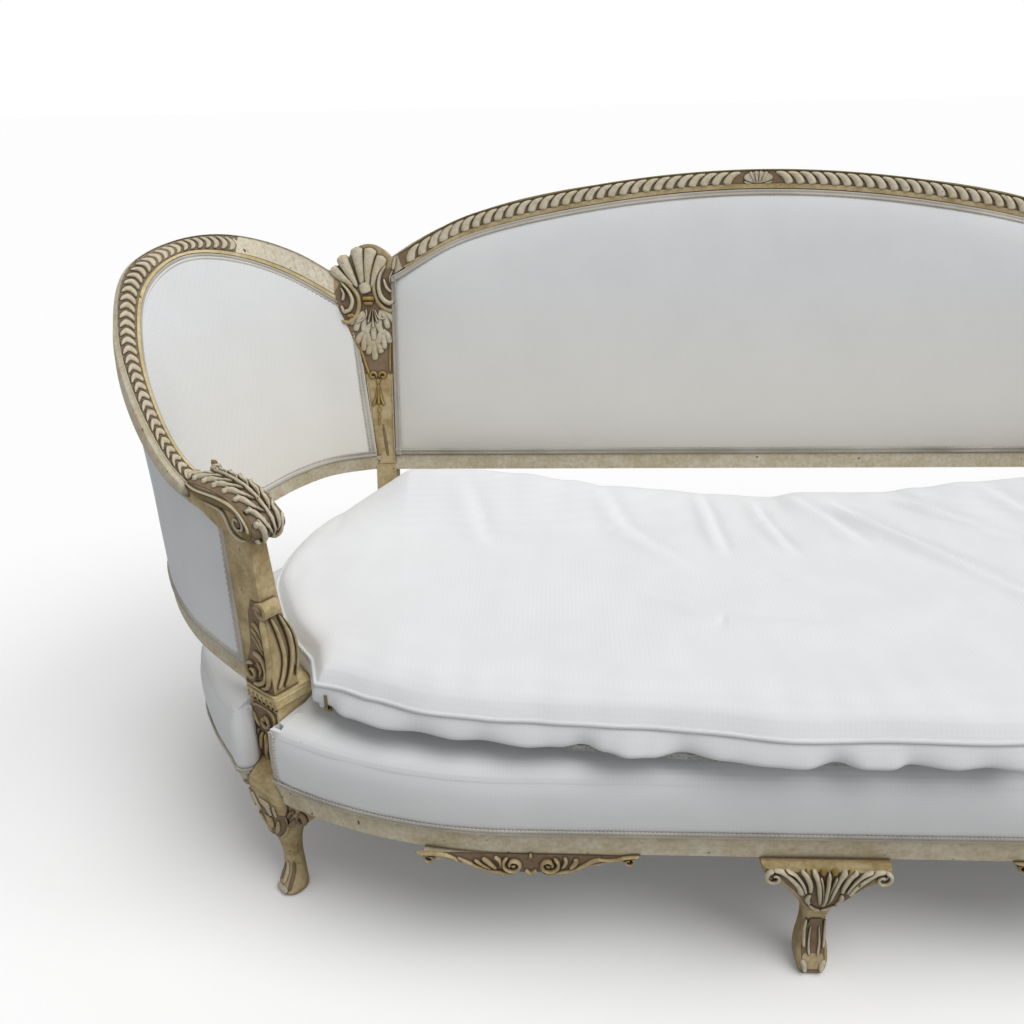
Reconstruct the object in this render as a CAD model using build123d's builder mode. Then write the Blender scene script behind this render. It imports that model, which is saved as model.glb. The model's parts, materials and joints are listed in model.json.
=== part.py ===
from build123d import *
import math
import os

# French-style basket sofa: carved and painted beech frame, sprung seat,
# upholstered back and wings, and a loose seat cushion with a zip.
# Millimetres, +Z up, front towards -Y. The origin is on the floor, under the
# middle of the sofa's outer box. Heights are from the floor, and the y values
# below are depths behind the face of the front rail.

os.makedirs("parts", exist_ok=True)

# Overall sizes
wing_half_span = 1120.0
seat_depth = 752.0
crest_height = 1058.0
wing_height = 978.0
overrun = 20.0
fit_gap = 0.4

# Seat rails
rail_bottom = 214.0
rail_top = 304.0
show_wood_height = 38.0
rail_thickness = 34.0
cover_rebate = 10.0
front_straight_half = 445.0
front_corner_radius = 752.0
front_joint_half = 620.0
side_rail_bottom = 222.0

# Front corner block, turned towards the corner of the room
corner_turn = 37.7
corner_x = 810.0
corner_y = 165.0
block_side = 68.0
plinth_reach = 62.0
block_top = 400.0
cap_height = 20.0
cap_overhang = 4.0
cap_round = 5.0

# Arm post and its volute
post_height = 264.0
post_foot_width = 66.0
post_head_width = 62.0
post_thickness = 44.0
post_head_thickness = 26.0
volute_radius = 14.0
volute_length = 28.0
volute_height = 548.0
volute_from_block = 30.0
volute_proud = 3.0

# Hand scroll at the front of the wing rail
hand_back = 105.0
hand_reach = 46.0
hand_width = 56.0
hand_top = 722.0
hand_heel = 718.0
hand_roll_radius = 24.0

# Wing (arm) frame
wing_board = 34.0
wing_foot_rail_height = 28.0
wing_pad_share = 0.62
wing_webbing_share = 0.16
wing_pad_crown = 18.0
wing_stations = 16
wing_drop_share = 0.32

# Back frame, leaning back
back_line_y = 744.0
back_line_height = 507.0
back_lean = 15.64
back_post_thickness = 45.0
back_board = 36.0
back_foot_rail_height = 30.0
back_opening_half = 711.0
back_post_width = 40.0
crest_face = 36.0
back_pad_depth = 26.0
back_pad_crown = 24.0
back_cover_thickness = 3.0
crest_leaf_half = 27.0
crest_leaf_height = 20.0
crest_leaf_stand = 4.0

# Legs
front_leg_top = 80.0
rear_leg_side = 60.0
rear_leg_foot = 38.0
rear_leg_splay = 40.0
rear_corner_x = 735.0
centre_leg_half = 91.0
centre_leg_reach = 26.0
centre_leg_depth = 70.0

# Apron ornament
ornament_x = 421.0
ornament_half = 156.0
ornament_drop = 38.0
ornament_thickness = 16.0

# Seat upholstery
webbing_height = 248.0
webbing_width = 50.0
webbing_pitch = 66.0
webbing_thickness = 3.0
spring_top = 330.0
spring_radius = 44.0
spring_waist = 30.0
spring_wall = 4.0
spring_columns = 7
spring_rows = 3
spring_pitch_x = 180.0
spring_pitch_y = 190.0
spring_first_y = 180.0
hessian_thickness = 2.5
edge_roll_width = 42.0
seat_edge_height = 352.0
deck_height = 384.0
deck_crown_inset = 112.0
side_cover_bottom = 225.0
seat_cover_bulge = 8.0
seat_cover_thickness = 1.5
back_cover_stand = 3.0
dust_cover_height = 216.0

# Stretchers, braces, screws and dowels
stretcher_x = 330.0
stretcher_width = 45.0
stretcher_thickness = 22.0
brace_leg = 95.0
brace_height = 46.0
screw_radius = 2.5
screw_head_radius = 5.0
screw_length = 46.0
screw_head_height = 3.0
dowel_radius = 5.0
dowel_length = 40.0

# Braid (gimp)
braid_width = 12.0
braid_thickness = 2.4
braid_gap = 0.05

# Loose cushion
cushion_gap = 0.8
cushion_edge_height = 430.0
cushion_top = 462.0
cushion_front_reach = 13.0
cushion_half = 883.0
cushion_depth_half = 358.0
cushion_front_radius = 2400.0
cushion_front_half = 742.0
cushion_back_y = 703.0
cushion_back_half = 700.0
cushion_tuck = 12.0
cushion_crown_inset = 250.0
piping_radius = 3.0
cover_thickness = 2.0
zip_height = 394.0
zip_half_angle = 17.66
zip_park_angle = 17.5
zip_band = 9.0
zip_thickness = 1.6
slider_length = 11.0
slider_width = 9.0
slider_thickness = 3.0
bail_radius = 1.0
bail_reach = 3.6
pull_length = 24.0
pull_width = 5.0
pull_thickness = 1.4
pin_gap = 0.25
eye_gap = 0.1

# Wing curves, from the back post round to the arm post. Each row is a share
# of the wing's half span, the seat depth and the wing height.
wing_inner_shares = [
    (0.683, 1.120, 0.813), (0.807, 1.093, 0.906), (0.888, 1.000, 0.958), (0.945, 0.894, 0.970), (0.971, 0.765, 0.934),
    (0.954, 0.632, 0.865), (0.908, 0.492, 0.796), (0.839, 0.359, 0.735), (0.737, 0.235, 0.706)]
wing_outer_shares = [
    (0.683, 1.141, 0.857), (0.794, 1.112, 0.947), (0.887, 1.035, 0.992), (0.962, 0.935, 0.994), (0.995, 0.757, 0.969),
    (0.982, 0.614, 0.892), (0.922, 0.445, 0.817), (0.847, 0.303, 0.747), (0.761, 0.189, 0.714)]
wing_foot_shares = [
    (0.656, 1.000, 0.518), (0.741, 0.951, 0.518), (0.790, 0.871, 0.518), (0.826, 0.769, 0.518), (0.859, 0.658, 0.518),
    (0.884, 0.545, 0.514), (0.884, 0.432, 0.501), (0.830, 0.319, 0.460), (0.737, 0.235, 0.411)]
wing_back_lean_shares = [1.0, 1.0, 1.0, 1.0, 0.9, 0.5, 0.2, 0.05, 0.0]

# Seat side outline, as shares of the wing's half span and the seat depth.
side_outline_shares = [
    (0.765, 0.160), (0.808, 0.223), (0.848, 0.306), (0.886, 0.412), (0.902, 0.532), (0.887, 0.665), (0.844, 0.785),
    (0.786, 0.884), (0.723, 0.951), (0.660, 1.000)]

# Left half of the loose cushion's outline behind its front corner: shares of the
# cushion's half width and of the seat depth.
cushion_side_shares = [
    (0.856, 0.200), (0.866, 0.229), (0.913, 0.307), (0.954, 0.406), (0.991, 0.517), (1.000, 0.597), (0.993, 0.698),
    (0.972, 0.798), (0.917, 0.888)]

# Places worked out from the sizes
lean = math.radians(back_lean)
turn = math.radians(corner_turn)
crest_run = (crest_height - back_line_height) / math.cos(lean)
back_reach = back_line_y + crest_run * math.sin(lean) + back_board * math.cos(lean)
centre_y = (back_reach - centre_leg_reach) / 2
base = Plane((0, -centre_y, 0))
along_block = Vector(math.cos(turn), -math.sin(turn), 0)
into_block = Vector(math.sin(turn), math.cos(turn), 0)
block_centre = Vector(-corner_x, corner_y - centre_y, 0)
back_plane = Plane(
    origin=(0, back_line_y - centre_y, back_line_height),
    x_dir=(1, 0, 0),
    z_dir=(0, -math.cos(lean), math.sin(lean)),
)
joint_angle = math.degrees(math.asin((front_joint_half - front_straight_half) / front_corner_radius))
front_sweep = 40.0
deck_sweep = 30.0


def save(builder, node):
    """Label a finished piece and write it."""
    builder.part.label = node
    export_step(builder.part, f"parts/{node}.step")


def save_pair(left, stem):
    """Write a left-hand piece and its mirror image on the right."""
    save(left, f"{stem}_left")
    with BuildPart() as right:
        mirror(left.part, about=Plane.YZ)
    save(right, f"{stem}_right")
    return right


def block_point(along, into, height):
    """Point given in the turned corner block's own directions."""
    return block_centre + along_block * along + into_block * into + Vector(0, 0, height)


def block_level(height, along=0.0, into=0.0):
    """Level plane turned with the corner block."""
    return Plane(origin=block_point(along, into, height), x_dir=along_block, z_dir=(0, 0, 1))


def block_cut(along):
    """Upright plane square to the corner block's face, facing the middle of the sofa."""
    return Plane(origin=block_point(along, 0, 0), z_dir=along_block)


def back_run(height):
    """Distance up the leaning back for a height above the floor."""
    return (height - back_line_height) / math.cos(lean)


def smooth(points, share):
    """Point on a smooth curve through the listed points, share from 0 to 1."""
    last = len(points) - 1
    span = min(int(share * last), last - 1)
    t = share * last - span
    here, there = points[span], points[span + 1]
    before = points[span - 1] if span > 0 else here * 2 - there
    after = points[span + 2] if span + 2 <= last else there * 2 - here
    slope_in = (there - before) * 0.5
    slope_out = (after - here) * 0.5
    bend = (here - there) * 2 + slope_in + slope_out
    rise = (there - here) * 3 - slope_in * 2 - slope_out
    return bend * t**3 + rise * t**2 + slope_in * t + here


def front_face(outer, inner, angle):
    """Level face along the sofa's bowed front, between two insets from the rail's face."""
    with BuildSketch() as face:
        with BuildLine():
            ends = {}
            for inset in (outer, inner):
                Line((-front_straight_half, inset), (front_straight_half, inset))
                for side in (-1, 1):
                    centre = (side * front_straight_half, front_corner_radius)
                    arc = CenterArc(centre, front_corner_radius - inset, -90, side * angle)
                    ends[(side, inset)] = arc @ 1
            for side in (-1, 1):
                Line(ends[(side, outer)], ends[(side, inner)])
        make_face()
    return face.sketch


def corner_face(outer, inner, angle_from, angle_to):
    """Level face along the left-hand bow of the front."""
    centre = (-front_straight_half, front_corner_radius)
    with BuildSketch() as face:
        with BuildLine():
            outer_arc = CenterArc(centre, front_corner_radius - outer, -90 - angle_from, angle_from - angle_to)
            inner_arc = CenterArc(centre, front_corner_radius - inner, -90 - angle_from, angle_from - angle_to)
            Line(outer_arc @ 0, inner_arc @ 0)
            Line(outer_arc @ 1, inner_arc @ 1)
        make_face()
    return face.sketch


def side_points(inset):
    """Points of the left side's outline, moved inwards by an inset."""
    points = [Vector(-x * wing_half_span, y * seat_depth) for x, y in side_outline_shares]
    moved = []
    for place, point in enumerate(points):
        before = points[max(place - 1, 0)]
        after = points[min(place + 1, len(points) - 1)]
        run = (after - before).normalized()
        moved.append(point + Vector(run.Y, -run.X) * inset)
    return moved


def side_face(outer, inner):
    """Level face along the left side of the seat, between two insets."""
    with BuildSketch() as face:
        with BuildLine():
            outside = Spline(*side_points(outer))
            inside = Spline(*side_points(inner))
            Line(outside @ 0, inside @ 0)
            Line(outside @ 1, inside @ 1)
        make_face()
    return face.sketch


def seat_face(inset, side_inset, back_inset):
    """Level face of the whole seat, inset from its outline at the front, sides and back."""
    flank = side_points(side_inset)
    back_y = seat_depth - back_inset
    with BuildSketch() as face:
        with BuildLine():
            Line((-front_straight_half, inset), (front_straight_half, inset))
            for side in (-1, 1):
                centre = (side * front_straight_half, front_corner_radius)
                arc = CenterArc(centre, front_corner_radius - inset, -90, side * deck_sweep)
                edge = Spline(*[Vector(-side * point.X, point.Y) for point in flank])
                Line(arc @ 1, edge @ 0)
                Line(edge @ 1, (-side * flank[-1].X, back_y))
            Line((flank[-1].X, back_y), (-flank[-1].X, back_y))
        make_face()
    return face.sketch


def flat_section(points):
    """One flat cross-section through the listed corners."""
    first = (points[1] - points[0]).normalized()
    plane = Plane(origin=points[0], x_dir=first, z_dir=first.cross(points[-1] - points[0]))
    corners = [plane.to_local_coords(point) for point in points]
    with BuildSketch(plane) as section:
        with BuildLine():
            Polyline(*[(corner.X, corner.Y) for corner in corners], close=True)
        make_face()
    return section.sketch


# Wing curves in space
def wing_curve(shares):
    points = [Vector(-x * wing_half_span, y * seat_depth - centre_y, z * wing_height) for x, y, z in shares]
    return [smooth(points, step / wing_stations) for step in range(wing_stations + 1)]


wing_inner = wing_curve(wing_inner_shares)
wing_outer = wing_curve(wing_outer_shares)
wing_foot = wing_curve(wing_foot_shares)
wing_leans = [smooth([Vector(s, 0, 0) for s in wing_back_lean_shares], step / wing_stations).X
              for step in range(wing_stations + 1)]
wing_through = []
for step in range(wing_stations + 1):
    run = wing_inner[min(step + 1, wing_stations)] - wing_inner[max(step - 1, 0)]
    outward = Vector(run.Y, -run.X, 0).normalized() + Vector(0, wing_leans[step], -wing_drop_share)
    wing_through.append(outward.normalized() * wing_board)
wing_foot_top = [point + Vector(0, 0, wing_foot_rail_height) for point in wing_foot]
wing_slope = [(top - foot).normalized() for top, foot in zip(wing_inner, wing_foot_top)]


def wing_solid(corners):
    """Ruled solid through the wing's stations; corners gives each station's section."""
    sections = [flat_section(corners(step)) for step in range(wing_stations + 1)]
    with BuildPart() as strip:
        loft(sections, ruled=True)
    return strip


# Dowels that hold the frame together, all of one kind
block_joint = block_point(0, 0, 0)
with BuildPart() as frame_dowels:
    for side in (-1, 1):
        upright_places = [
            (Vector(side * -block_joint.X, block_joint.Y), rail_bottom + show_wood_height),
            (Vector(side * -block_joint.X, block_joint.Y), block_top),
        ]
        for place, height in upright_places:
            with BuildSketch(Plane.XY.offset(height - dowel_length / 2)):
                with Locations((place.X, place.Y)):
                    Circle(dowel_radius)
            extrude(amount=dowel_length)
        across = [
            (rear_corner_x - rear_leg_side / 2, seat_depth - rail_thickness / 2 - centre_y, (rail_bottom + rail_top) / 2),
        ]
        for x, y, z in across:
            with BuildSketch(Plane(origin=(side * x - dowel_length / 2, y, z), x_dir=(0, 1, 0), z_dir=(1, 0, 0))):
                Circle(dowel_radius)
            extrude(amount=dowel_length)
        for run in (back_foot_rail_height / 2, back_run(crest_height * 0.846)):
            middle = back_plane.from_local_coords((side * back_opening_half, run, -back_board / 2))
            with BuildSketch(Plane(origin=middle - Vector(dowel_length / 2, 0, 0), x_dir=(0, 1, 0), z_dir=(1, 0, 0))):
                Circle(dowel_radius)
            extrude(amount=dowel_length)
        for height in (rail_bottom + show_wood_height / 2, rail_top - show_wood_height / 2):
            swing = math.radians(joint_angle)
            radius = front_corner_radius - (cover_rebate + rail_thickness) / 2
            place = Vector(side * (front_straight_half + radius * math.sin(swing)),
                           front_corner_radius - radius * math.cos(swing) - centre_y, height)
            run = Vector(side * math.cos(swing), math.sin(swing), 0)
            with BuildSketch(Plane(origin=place - run * (dowel_length / 2), z_dir=run)):
                Circle(dowel_radius)
            extrude(amount=dowel_length)
save(frame_dowels, "frame_dowels")

# Glue blocks inside the four corners, each held by a screw
brace_bottom = rail_top - brace_height
rear_corner_y = seat_depth - rear_leg_side / 2
inner_back = Vector(-rear_corner_x + rear_leg_side / 2, seat_depth - rail_thickness)
level_along = Vector(along_block.X, along_block.Y)
level_into = Vector(into_block.X, into_block.Y)
front_corner = Vector(-corner_x, corner_y) + (level_into - level_along) * (block_side / 2)


def brace_triangle(corner, run_x, run_y):
    """Level triangle in a corner, along the two faces beside it."""
    with BuildSketch() as face:
        with BuildLine():
            Polyline(corner, corner + run_x * brace_leg, corner + run_y * brace_leg, close=True)
        make_face()
    return face.sketch


with BuildPart() as brace_screws:
    screw_height = brace_bottom + brace_height / 2
    rear_start = Vector(inner_back.X + brace_leg * 0.45, inner_back.Y - centre_y, screw_height)
    front_start = block_point(-block_side / 2 + brace_leg * 0.4, block_side / 2, screw_height)
    for start, inwards, depth_there in (
        (rear_start, Vector(0, -1, 0), brace_leg * 0.55),
        (front_start, into_block, brace_leg * 0.6),
    ):
        head = start + inwards * depth_there
        with BuildSketch(Plane(origin=head, z_dir=-inwards)):
            Circle(screw_head_radius)
        extrude(amount=screw_head_height)
        with BuildSketch(Plane(origin=head, z_dir=-inwards)):
            Circle(screw_radius)
        extrude(amount=depth_there + rail_thickness / 2)
    mirror(about=Plane.YZ)
save(brace_screws, "brace_screws")

with BuildPart() as corner_braces:
    with BuildSketch(base.offset(brace_bottom)):
        add(brace_triangle(inner_back, Vector(1, 0), Vector(0, -1)))
        with Locations((-rear_corner_x, rear_corner_y)):
            Rectangle(rear_leg_side, rear_leg_side, mode=Mode.SUBTRACT)
        add(brace_triangle(front_corner, level_along, level_into))
    extrude(amount=brace_height)
    mirror(about=Plane.YZ)
    add(brace_screws.part, mode=Mode.SUBTRACT)
save(corner_braces, "corner_braces")

# Front seat rail: show wood below, rebated above for the cover
with BuildPart() as front_seat_rail:
    with BuildSketch(base.offset(rail_bottom)):
        add(front_face(0, rail_thickness, joint_angle))
    extrude(amount=show_wood_height)
    with BuildSketch(base.offset(rail_bottom + show_wood_height)):
        add(front_face(cover_rebate, rail_thickness, joint_angle))
    extrude(amount=rail_top - rail_bottom - show_wood_height)
    add(frame_dowels.part, mode=Mode.SUBTRACT)
save(front_seat_rail, "front_seat_rail")

# Curved end rails, from the front rail's joint to the corner blocks
with BuildPart() as end_rail:
    with BuildSketch(base.offset(rail_bottom)):
        add(corner_face(0, rail_thickness, joint_angle, front_sweep))
    extrude(amount=show_wood_height)
    with BuildSketch(base.offset(rail_bottom + show_wood_height)):
        add(corner_face(cover_rebate, rail_thickness, joint_angle, front_sweep))
    extrude(amount=rail_top - rail_bottom - show_wood_height)
    split(bisect_by=block_cut(block_side / 2), keep=Keep.TOP)
    add(frame_dowels.part, mode=Mode.SUBTRACT)
save_pair(end_rail, "end_seat_rail")

# Side rails, covered with fabric on the outside
with BuildPart() as side_rail:
    with BuildSketch(base.offset(side_rail_bottom)):
        add(side_face(cover_rebate, cover_rebate + rail_thickness))
    extrude(amount=rail_top - side_rail_bottom)
    split(bisect_by=block_cut(-block_side / 2), keep=Keep.BOTTOM)
    split(bisect_by=Plane(origin=(-rear_corner_x - rear_leg_side / 2, 0, 0), z_dir=(1, 0, 0)), keep=Keep.BOTTOM)
save_pair(side_rail, "side_seat_rail")

# Back seat rail
with BuildPart() as back_seat_rail:
    with BuildSketch(base.offset(rail_bottom)):
        with Locations((0, seat_depth - rail_thickness / 2)):
            Rectangle(2 * rear_corner_x - rear_leg_side, rail_thickness)
    extrude(amount=rail_top - rail_bottom)
    add(frame_dowels.part, mode=Mode.SUBTRACT)
    add(brace_screws.part, mode=Mode.SUBTRACT)
save(back_seat_rail, "back_seat_rail")

# Front corner legs: cabriole, turned to the corner, with a plinth behind the rails.
# Each row: share of the rail's height, share of the plinth's reach, share of the top's width.
front_leg_shares = [
    (0.00, 0.88, 0.46), (0.05, 0.86, 0.54), (0.12, 0.76, 0.42), (0.28, 0.68, 0.38), (0.46, 0.70, 0.47), (0.64, 0.82, 0.66),
    (0.82, 0.86, 0.88), (1.00, 0.72, 1.00)]
with BuildPart() as front_leg:
    for height_share, reach_share, width_share in front_leg_shares:
        width = front_leg_top * width_share
        with BuildSketch(block_level(rail_bottom * height_share, 0, -plinth_reach * reach_share)):
            RectangleRounded(width, width, width / 4)
    loft()
    with BuildSketch(block_level(rail_bottom, 0, (block_side / 2 - plinth_reach) / 2)):
        Rectangle(block_side, block_side / 2 + plinth_reach)
    extrude(amount=show_wood_height)
    add(frame_dowels.part, mode=Mode.SUBTRACT)
save_pair(front_leg, "front_corner_leg")

# Front centre leg: bracket with ears at the rail, narrowing to a scrolled foot.
# Each row: share of the rail's height, share of the half width, share of the depth, share of the reach.
centre_leg_shares = [
    (0.00, 0.20, 0.58, 0.70), (0.05, 0.24, 0.66, 0.85), (0.22, 0.24, 0.58, 0.40), (0.36, 0.19, 0.50, 0.10),
    (0.50, 0.21, 0.56, 0.15), (0.64, 0.34, 0.74, 0.55), (0.76, 0.52, 0.90, 0.90), (0.90, 0.88, 1.00, 1.00),
    (1.00, 1.00, 1.00, 1.00)]
with BuildPart() as front_centre_leg:
    for height_share, half_share, depth_share, reach_share in centre_leg_shares:
        half = centre_leg_half * half_share
        depth = centre_leg_depth * depth_share
        with BuildSketch(base.offset(rail_bottom * height_share)):
            with Locations((0, depth / 2 - centre_leg_reach * reach_share)):
                RectangleRounded(2 * half, depth, min(half, depth / 2) / 2)
    loft()
save(front_centre_leg, "front_centre_leg")

# Rear corner legs, one piece with the post that takes the rails
with BuildPart() as rear_leg:
    for height, side_length, splay in ((0, rear_leg_foot, rear_leg_splay), (rail_bottom, rear_leg_side, 0)):
        with BuildSketch(base.offset(height)):
            with Locations((-rear_corner_x, rear_corner_y + splay)):
                Rectangle(side_length, side_length)
    loft(ruled=True)
    with BuildSketch(base.offset(rail_bottom)):
        with Locations((-rear_corner_x, rear_corner_y)):
            Rectangle(rear_leg_side, rear_leg_side)
    extrude(amount=rail_top - rail_bottom)
    add(frame_dowels.part, mode=Mode.SUBTRACT)
save_pair(rear_leg, "rear_corner_leg")

# Rear centre leg, under the back rail
with BuildPart() as rear_centre_leg:
    for height, side_length, splay in ((0, rear_leg_foot, rear_leg_splay), (rail_bottom, rear_leg_side, 0)):
        with BuildSketch(base.offset(height)):
            with Locations((0, rear_corner_y + splay)):
                Rectangle(side_length, side_length)
    loft(ruled=True)
save(rear_centre_leg, "rear_centre_leg")

# Carved apron ornaments under the front rail: a run of leaves and two end scrolls
with BuildPart() as apron_ornament:
    with BuildSketch(Plane(origin=(-ornament_x, ornament_thickness - centre_y, rail_bottom), x_dir=(1, 0, 0), z_dir=(0, -1, 0))):
        for lobe_share, half_share, drop_share in ((-0.86, 0.14, 0.42), (-0.55, 0.24, 0.62), (-0.18, 0.22, 0.95), (0.18, 0.22, 0.95),
                                                   (0.55, 0.24, 0.62), (0.86, 0.14, 0.42)):
            with Locations((ornament_half * lobe_share, 0)):
                Ellipse(ornament_half * half_share, ornament_drop * drop_share)
        with Locations((0, ornament_drop)):
            Rectangle(4 * ornament_half, 2 * ornament_drop, mode=Mode.SUBTRACT)
    extrude(amount=ornament_thickness)
    mirror(about=Plane.YZ)
save(apron_ornament, "apron_ornaments")

# Corner pilaster block with its cap
with BuildPart() as pilaster:
    with BuildSketch(block_level(rail_bottom + show_wood_height)):
        Rectangle(block_side, block_side)
    extrude(amount=block_top - cap_height - rail_bottom - show_wood_height)
    with BuildSketch(block_level(block_top - cap_height)):
        RectangleRounded(block_side + 2 * cap_overhang, block_side + 2 * cap_overhang, cap_round)
    extrude(amount=cap_height)
    add(frame_dowels.part, mode=Mode.SUBTRACT)
    add(brace_screws.part, mode=Mode.SUBTRACT)
save_pair(pilaster, "corner_block")

# Arm post, tapering upwards, with the volute on its front
post_out = -block_side / 2
with BuildPart() as arm_post:
    for height_share in (0.0, 0.3, 0.62, 1.0):
        ease = height_share**2 * (3 - 2 * height_share)
        width = post_foot_width + (post_head_width - post_foot_width) * ease
        depth = post_thickness + (post_head_thickness - post_thickness) * ease
        with BuildSketch(block_level(block_top + post_height * height_share, post_out + width / 2, post_out + depth / 2)):
            Rectangle(width, depth)
    loft(ruled=True)
    volute_plane = Plane(origin=block_point(volute_from_block, post_out + volute_length - volute_proud, volute_height),
                         x_dir=along_block, z_dir=-into_block)
    with BuildSketch(volute_plane):
        Circle(volute_radius)
    extrude(amount=volute_length)
    add(frame_dowels.part, mode=Mode.SUBTRACT)

# Hand scroll, resting on the post
hand_front = post_out - (hand_width - post_thickness) / 2
post_top = block_top + post_height
hand_plane = Plane(origin=block_point(0, hand_front + hand_width, 0), x_dir=along_block, z_dir=-into_block)
roll_centre = (hand_reach - hand_roll_radius, post_top + hand_roll_radius)
hand_shoulder = hand_top - hand_roll_radius
with BuildPart() as hand_scroll:
    with BuildSketch(hand_plane):
        with BuildLine():
            Spline((-hand_back, hand_heel), (-hand_back * 0.45, hand_top), (0, hand_top - hand_roll_radius / 4),
                   (hand_reach * 0.7, hand_shoulder), (hand_reach, roll_centre[1]))
            RadiusArc((hand_reach, roll_centre[1]), (roll_centre[0], post_top), hand_roll_radius)
            Polyline((roll_centre[0], post_top), (post_out, post_top), (-hand_back * 0.7, post_top + hand_roll_radius * 0.7),
                     (-hand_back, post_top + hand_roll_radius), (-hand_back, hand_heel))
        make_face()
    extrude(amount=hand_width)
save_pair(arm_post, "arm_post")
save_pair(hand_scroll, "hand_scroll")

# Back posts: leaning boards that widen into the shell spandrel.
# Heights above the floor and half-widths from the middle of the sofa.
post_left = back_opening_half + back_post_width
with BuildPart() as back_post:
    with BuildSketch(back_plane):
        with BuildLine():
            foot = (-post_left, back_run(rail_top))
            waist = (-post_left, back_run(crest_height * 0.586))
            flare = (-post_left - back_post_width * 0.62, back_run(crest_height * 0.697))
            ear_low = (-post_left - back_post_width * 2.5, back_run(crest_height * 0.800))
            ear_high = (-post_left - back_post_width * 2.1, back_run(crest_height * 0.838))
            shell_left = (-post_left - back_post_width * 1.1, back_run(crest_height * 0.858))
            shell_top = (-post_left - back_post_width * 0.25, back_run(crest_height * 0.884))
            shell_right = (-back_opening_half, back_run(crest_height * 0.858))
            Line(foot, waist)
            Spline(waist, flare, ear_low, tangents=((0, 1), (-1, 0.5)))
            Line(ear_low, ear_high)
            Line(ear_high, shell_left)
            ThreePointArc(shell_left, shell_top, shell_right)
            Line(shell_right, (-back_opening_half, back_run(rail_top)))
            Line((-back_opening_half, back_run(rail_top)), foot)
        make_face()
    extrude(amount=-back_post_thickness)
    split(bisect_by=base.offset(rail_top), keep=Keep.TOP)
    add(frame_dowels.part, mode=Mode.SUBTRACT)
right_post = save_pair(back_post, "back_post")

# Crest rail: bowed, one piece between the back posts, with a small leaf at its middle
crest_shares = [(0.0, 1.0), (0.385, 0.983), (0.767, 0.934), (1.0, 0.860)]


def crest_points(drop):
    """Points of the crest's bow, moved down the back by a distance."""
    half = [(share_x * back_opening_half, back_run(share_z * crest_height) - drop) for share_x, share_z in crest_shares]
    return [(-x, run) for x, run in reversed(half)] + half[1:]


with BuildPart() as crest_rail:
    with BuildSketch(back_plane):
        with BuildLine():
            upper = Spline(*crest_points(0))
            lower = Spline(*crest_points(crest_face))
            Line(upper @ 0, lower @ 0)
            Line(upper @ 1, lower @ 1)
        make_face()
    extrude(amount=-back_board)
    with BuildSketch(back_plane):
        with Locations((0, back_run(crest_height) - crest_leaf_height * 0.75)):
            Ellipse(crest_leaf_half, crest_leaf_height / 2)
    extrude(amount=crest_leaf_stand)
    add(frame_dowels.part, mode=Mode.SUBTRACT)
save(crest_rail, "crest_rail")

# Bottom rail of the back, above the see-through gap
with BuildPart() as back_foot_rail:
    with BuildSketch(back_plane):
        with Locations((0, back_foot_rail_height / 2)):
            Rectangle(2 * back_opening_half, back_foot_rail_height)
    extrude(amount=-back_board)
    add(frame_dowels.part, mode=Mode.SUBTRACT)
save(back_foot_rail, "back_bottom_rail")


def back_opening(edge):
    """Face inside the back's frame, inset all round by an edge."""
    half = back_opening_half - edge
    with BuildSketch() as face:
        with BuildLine():
            bow = [(x * half / back_opening_half, run - edge) for x, run in crest_points(crest_face)]
            top = Spline(*bow)
            Line(top @ 0, (-half, back_foot_rail_height + edge))
            Line((-half, back_foot_rail_height + edge), (half, back_foot_rail_height + edge))
            Line((half, back_foot_rail_height + edge), top @ 1)
        make_face()
    return face.sketch


# Crown of the back pad: share of the crown height, inset from the frame
crown_shares = [(0.0, 0.02), (0.42, 0.30), (0.80, 0.95), (1.0, 1.9)]
crown_inset = 70.0

with BuildPart() as back_stuffing:
    with BuildSketch(back_plane):
        add(back_opening(0))
    extrude(amount=-back_pad_depth)
    for rise_share, inset_share in crown_shares:
        with BuildSketch(back_plane.offset((back_pad_crown - cover_thickness) * rise_share)):
            add(back_opening(cover_thickness + crown_inset * inset_share))
    loft(ruled=True)
with BuildPart() as back_inner_cover:
    for rise_share, inset_share in crown_shares:
        with BuildSketch(back_plane.offset(back_pad_crown * rise_share)):
            add(back_opening(crown_inset * inset_share))
    loft(ruled=True)
    add(back_stuffing.part, mode=Mode.SUBTRACT)
save(back_stuffing, "back_stuffing")
save(back_inner_cover, "back_inner_cover")

# Webbing and outer cover behind the stuffing
web_depth = back_board - back_pad_depth - back_cover_thickness
with BuildPart() as back_webbing:
    with BuildSketch(back_plane.offset(-back_pad_depth)):
        with GridLocations(webbing_pitch * 2, 0, 10, 1):
            Rectangle(webbing_width, crest_height)
        with Locations(*[(0, back_foot_rail_height + webbing_pitch * 1.5 * (row + 0.6)) for row in range(5)]):
            Rectangle(2 * wing_half_span, webbing_width)
        add(back_opening(0), mode=Mode.INTERSECT)
    extrude(amount=-webbing_thickness)
save(back_webbing, "back_webbing")
with BuildPart() as back_outer_cover:
    with BuildSketch(back_plane.offset(-back_pad_depth - webbing_thickness)):
        add(back_opening(0))
    extrude(amount=webbing_thickness + back_pad_depth - back_board)
save(back_outer_cover, "back_outer_cover")

# Braid round the inside of the back
with BuildPart() as back_braid:
    with BuildSketch(back_plane):
        add(back_opening(-braid_width / 2))
        add(back_opening(braid_width / 2), mode=Mode.SUBTRACT)
    extrude(amount=braid_thickness)
    add(back_inner_cover.part, mode=Mode.SUBTRACT)
    add(back_stuffing.part, mode=Mode.SUBTRACT)
    add(crest_rail.part, mode=Mode.SUBTRACT)
save(back_braid, "back_braid")


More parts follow.
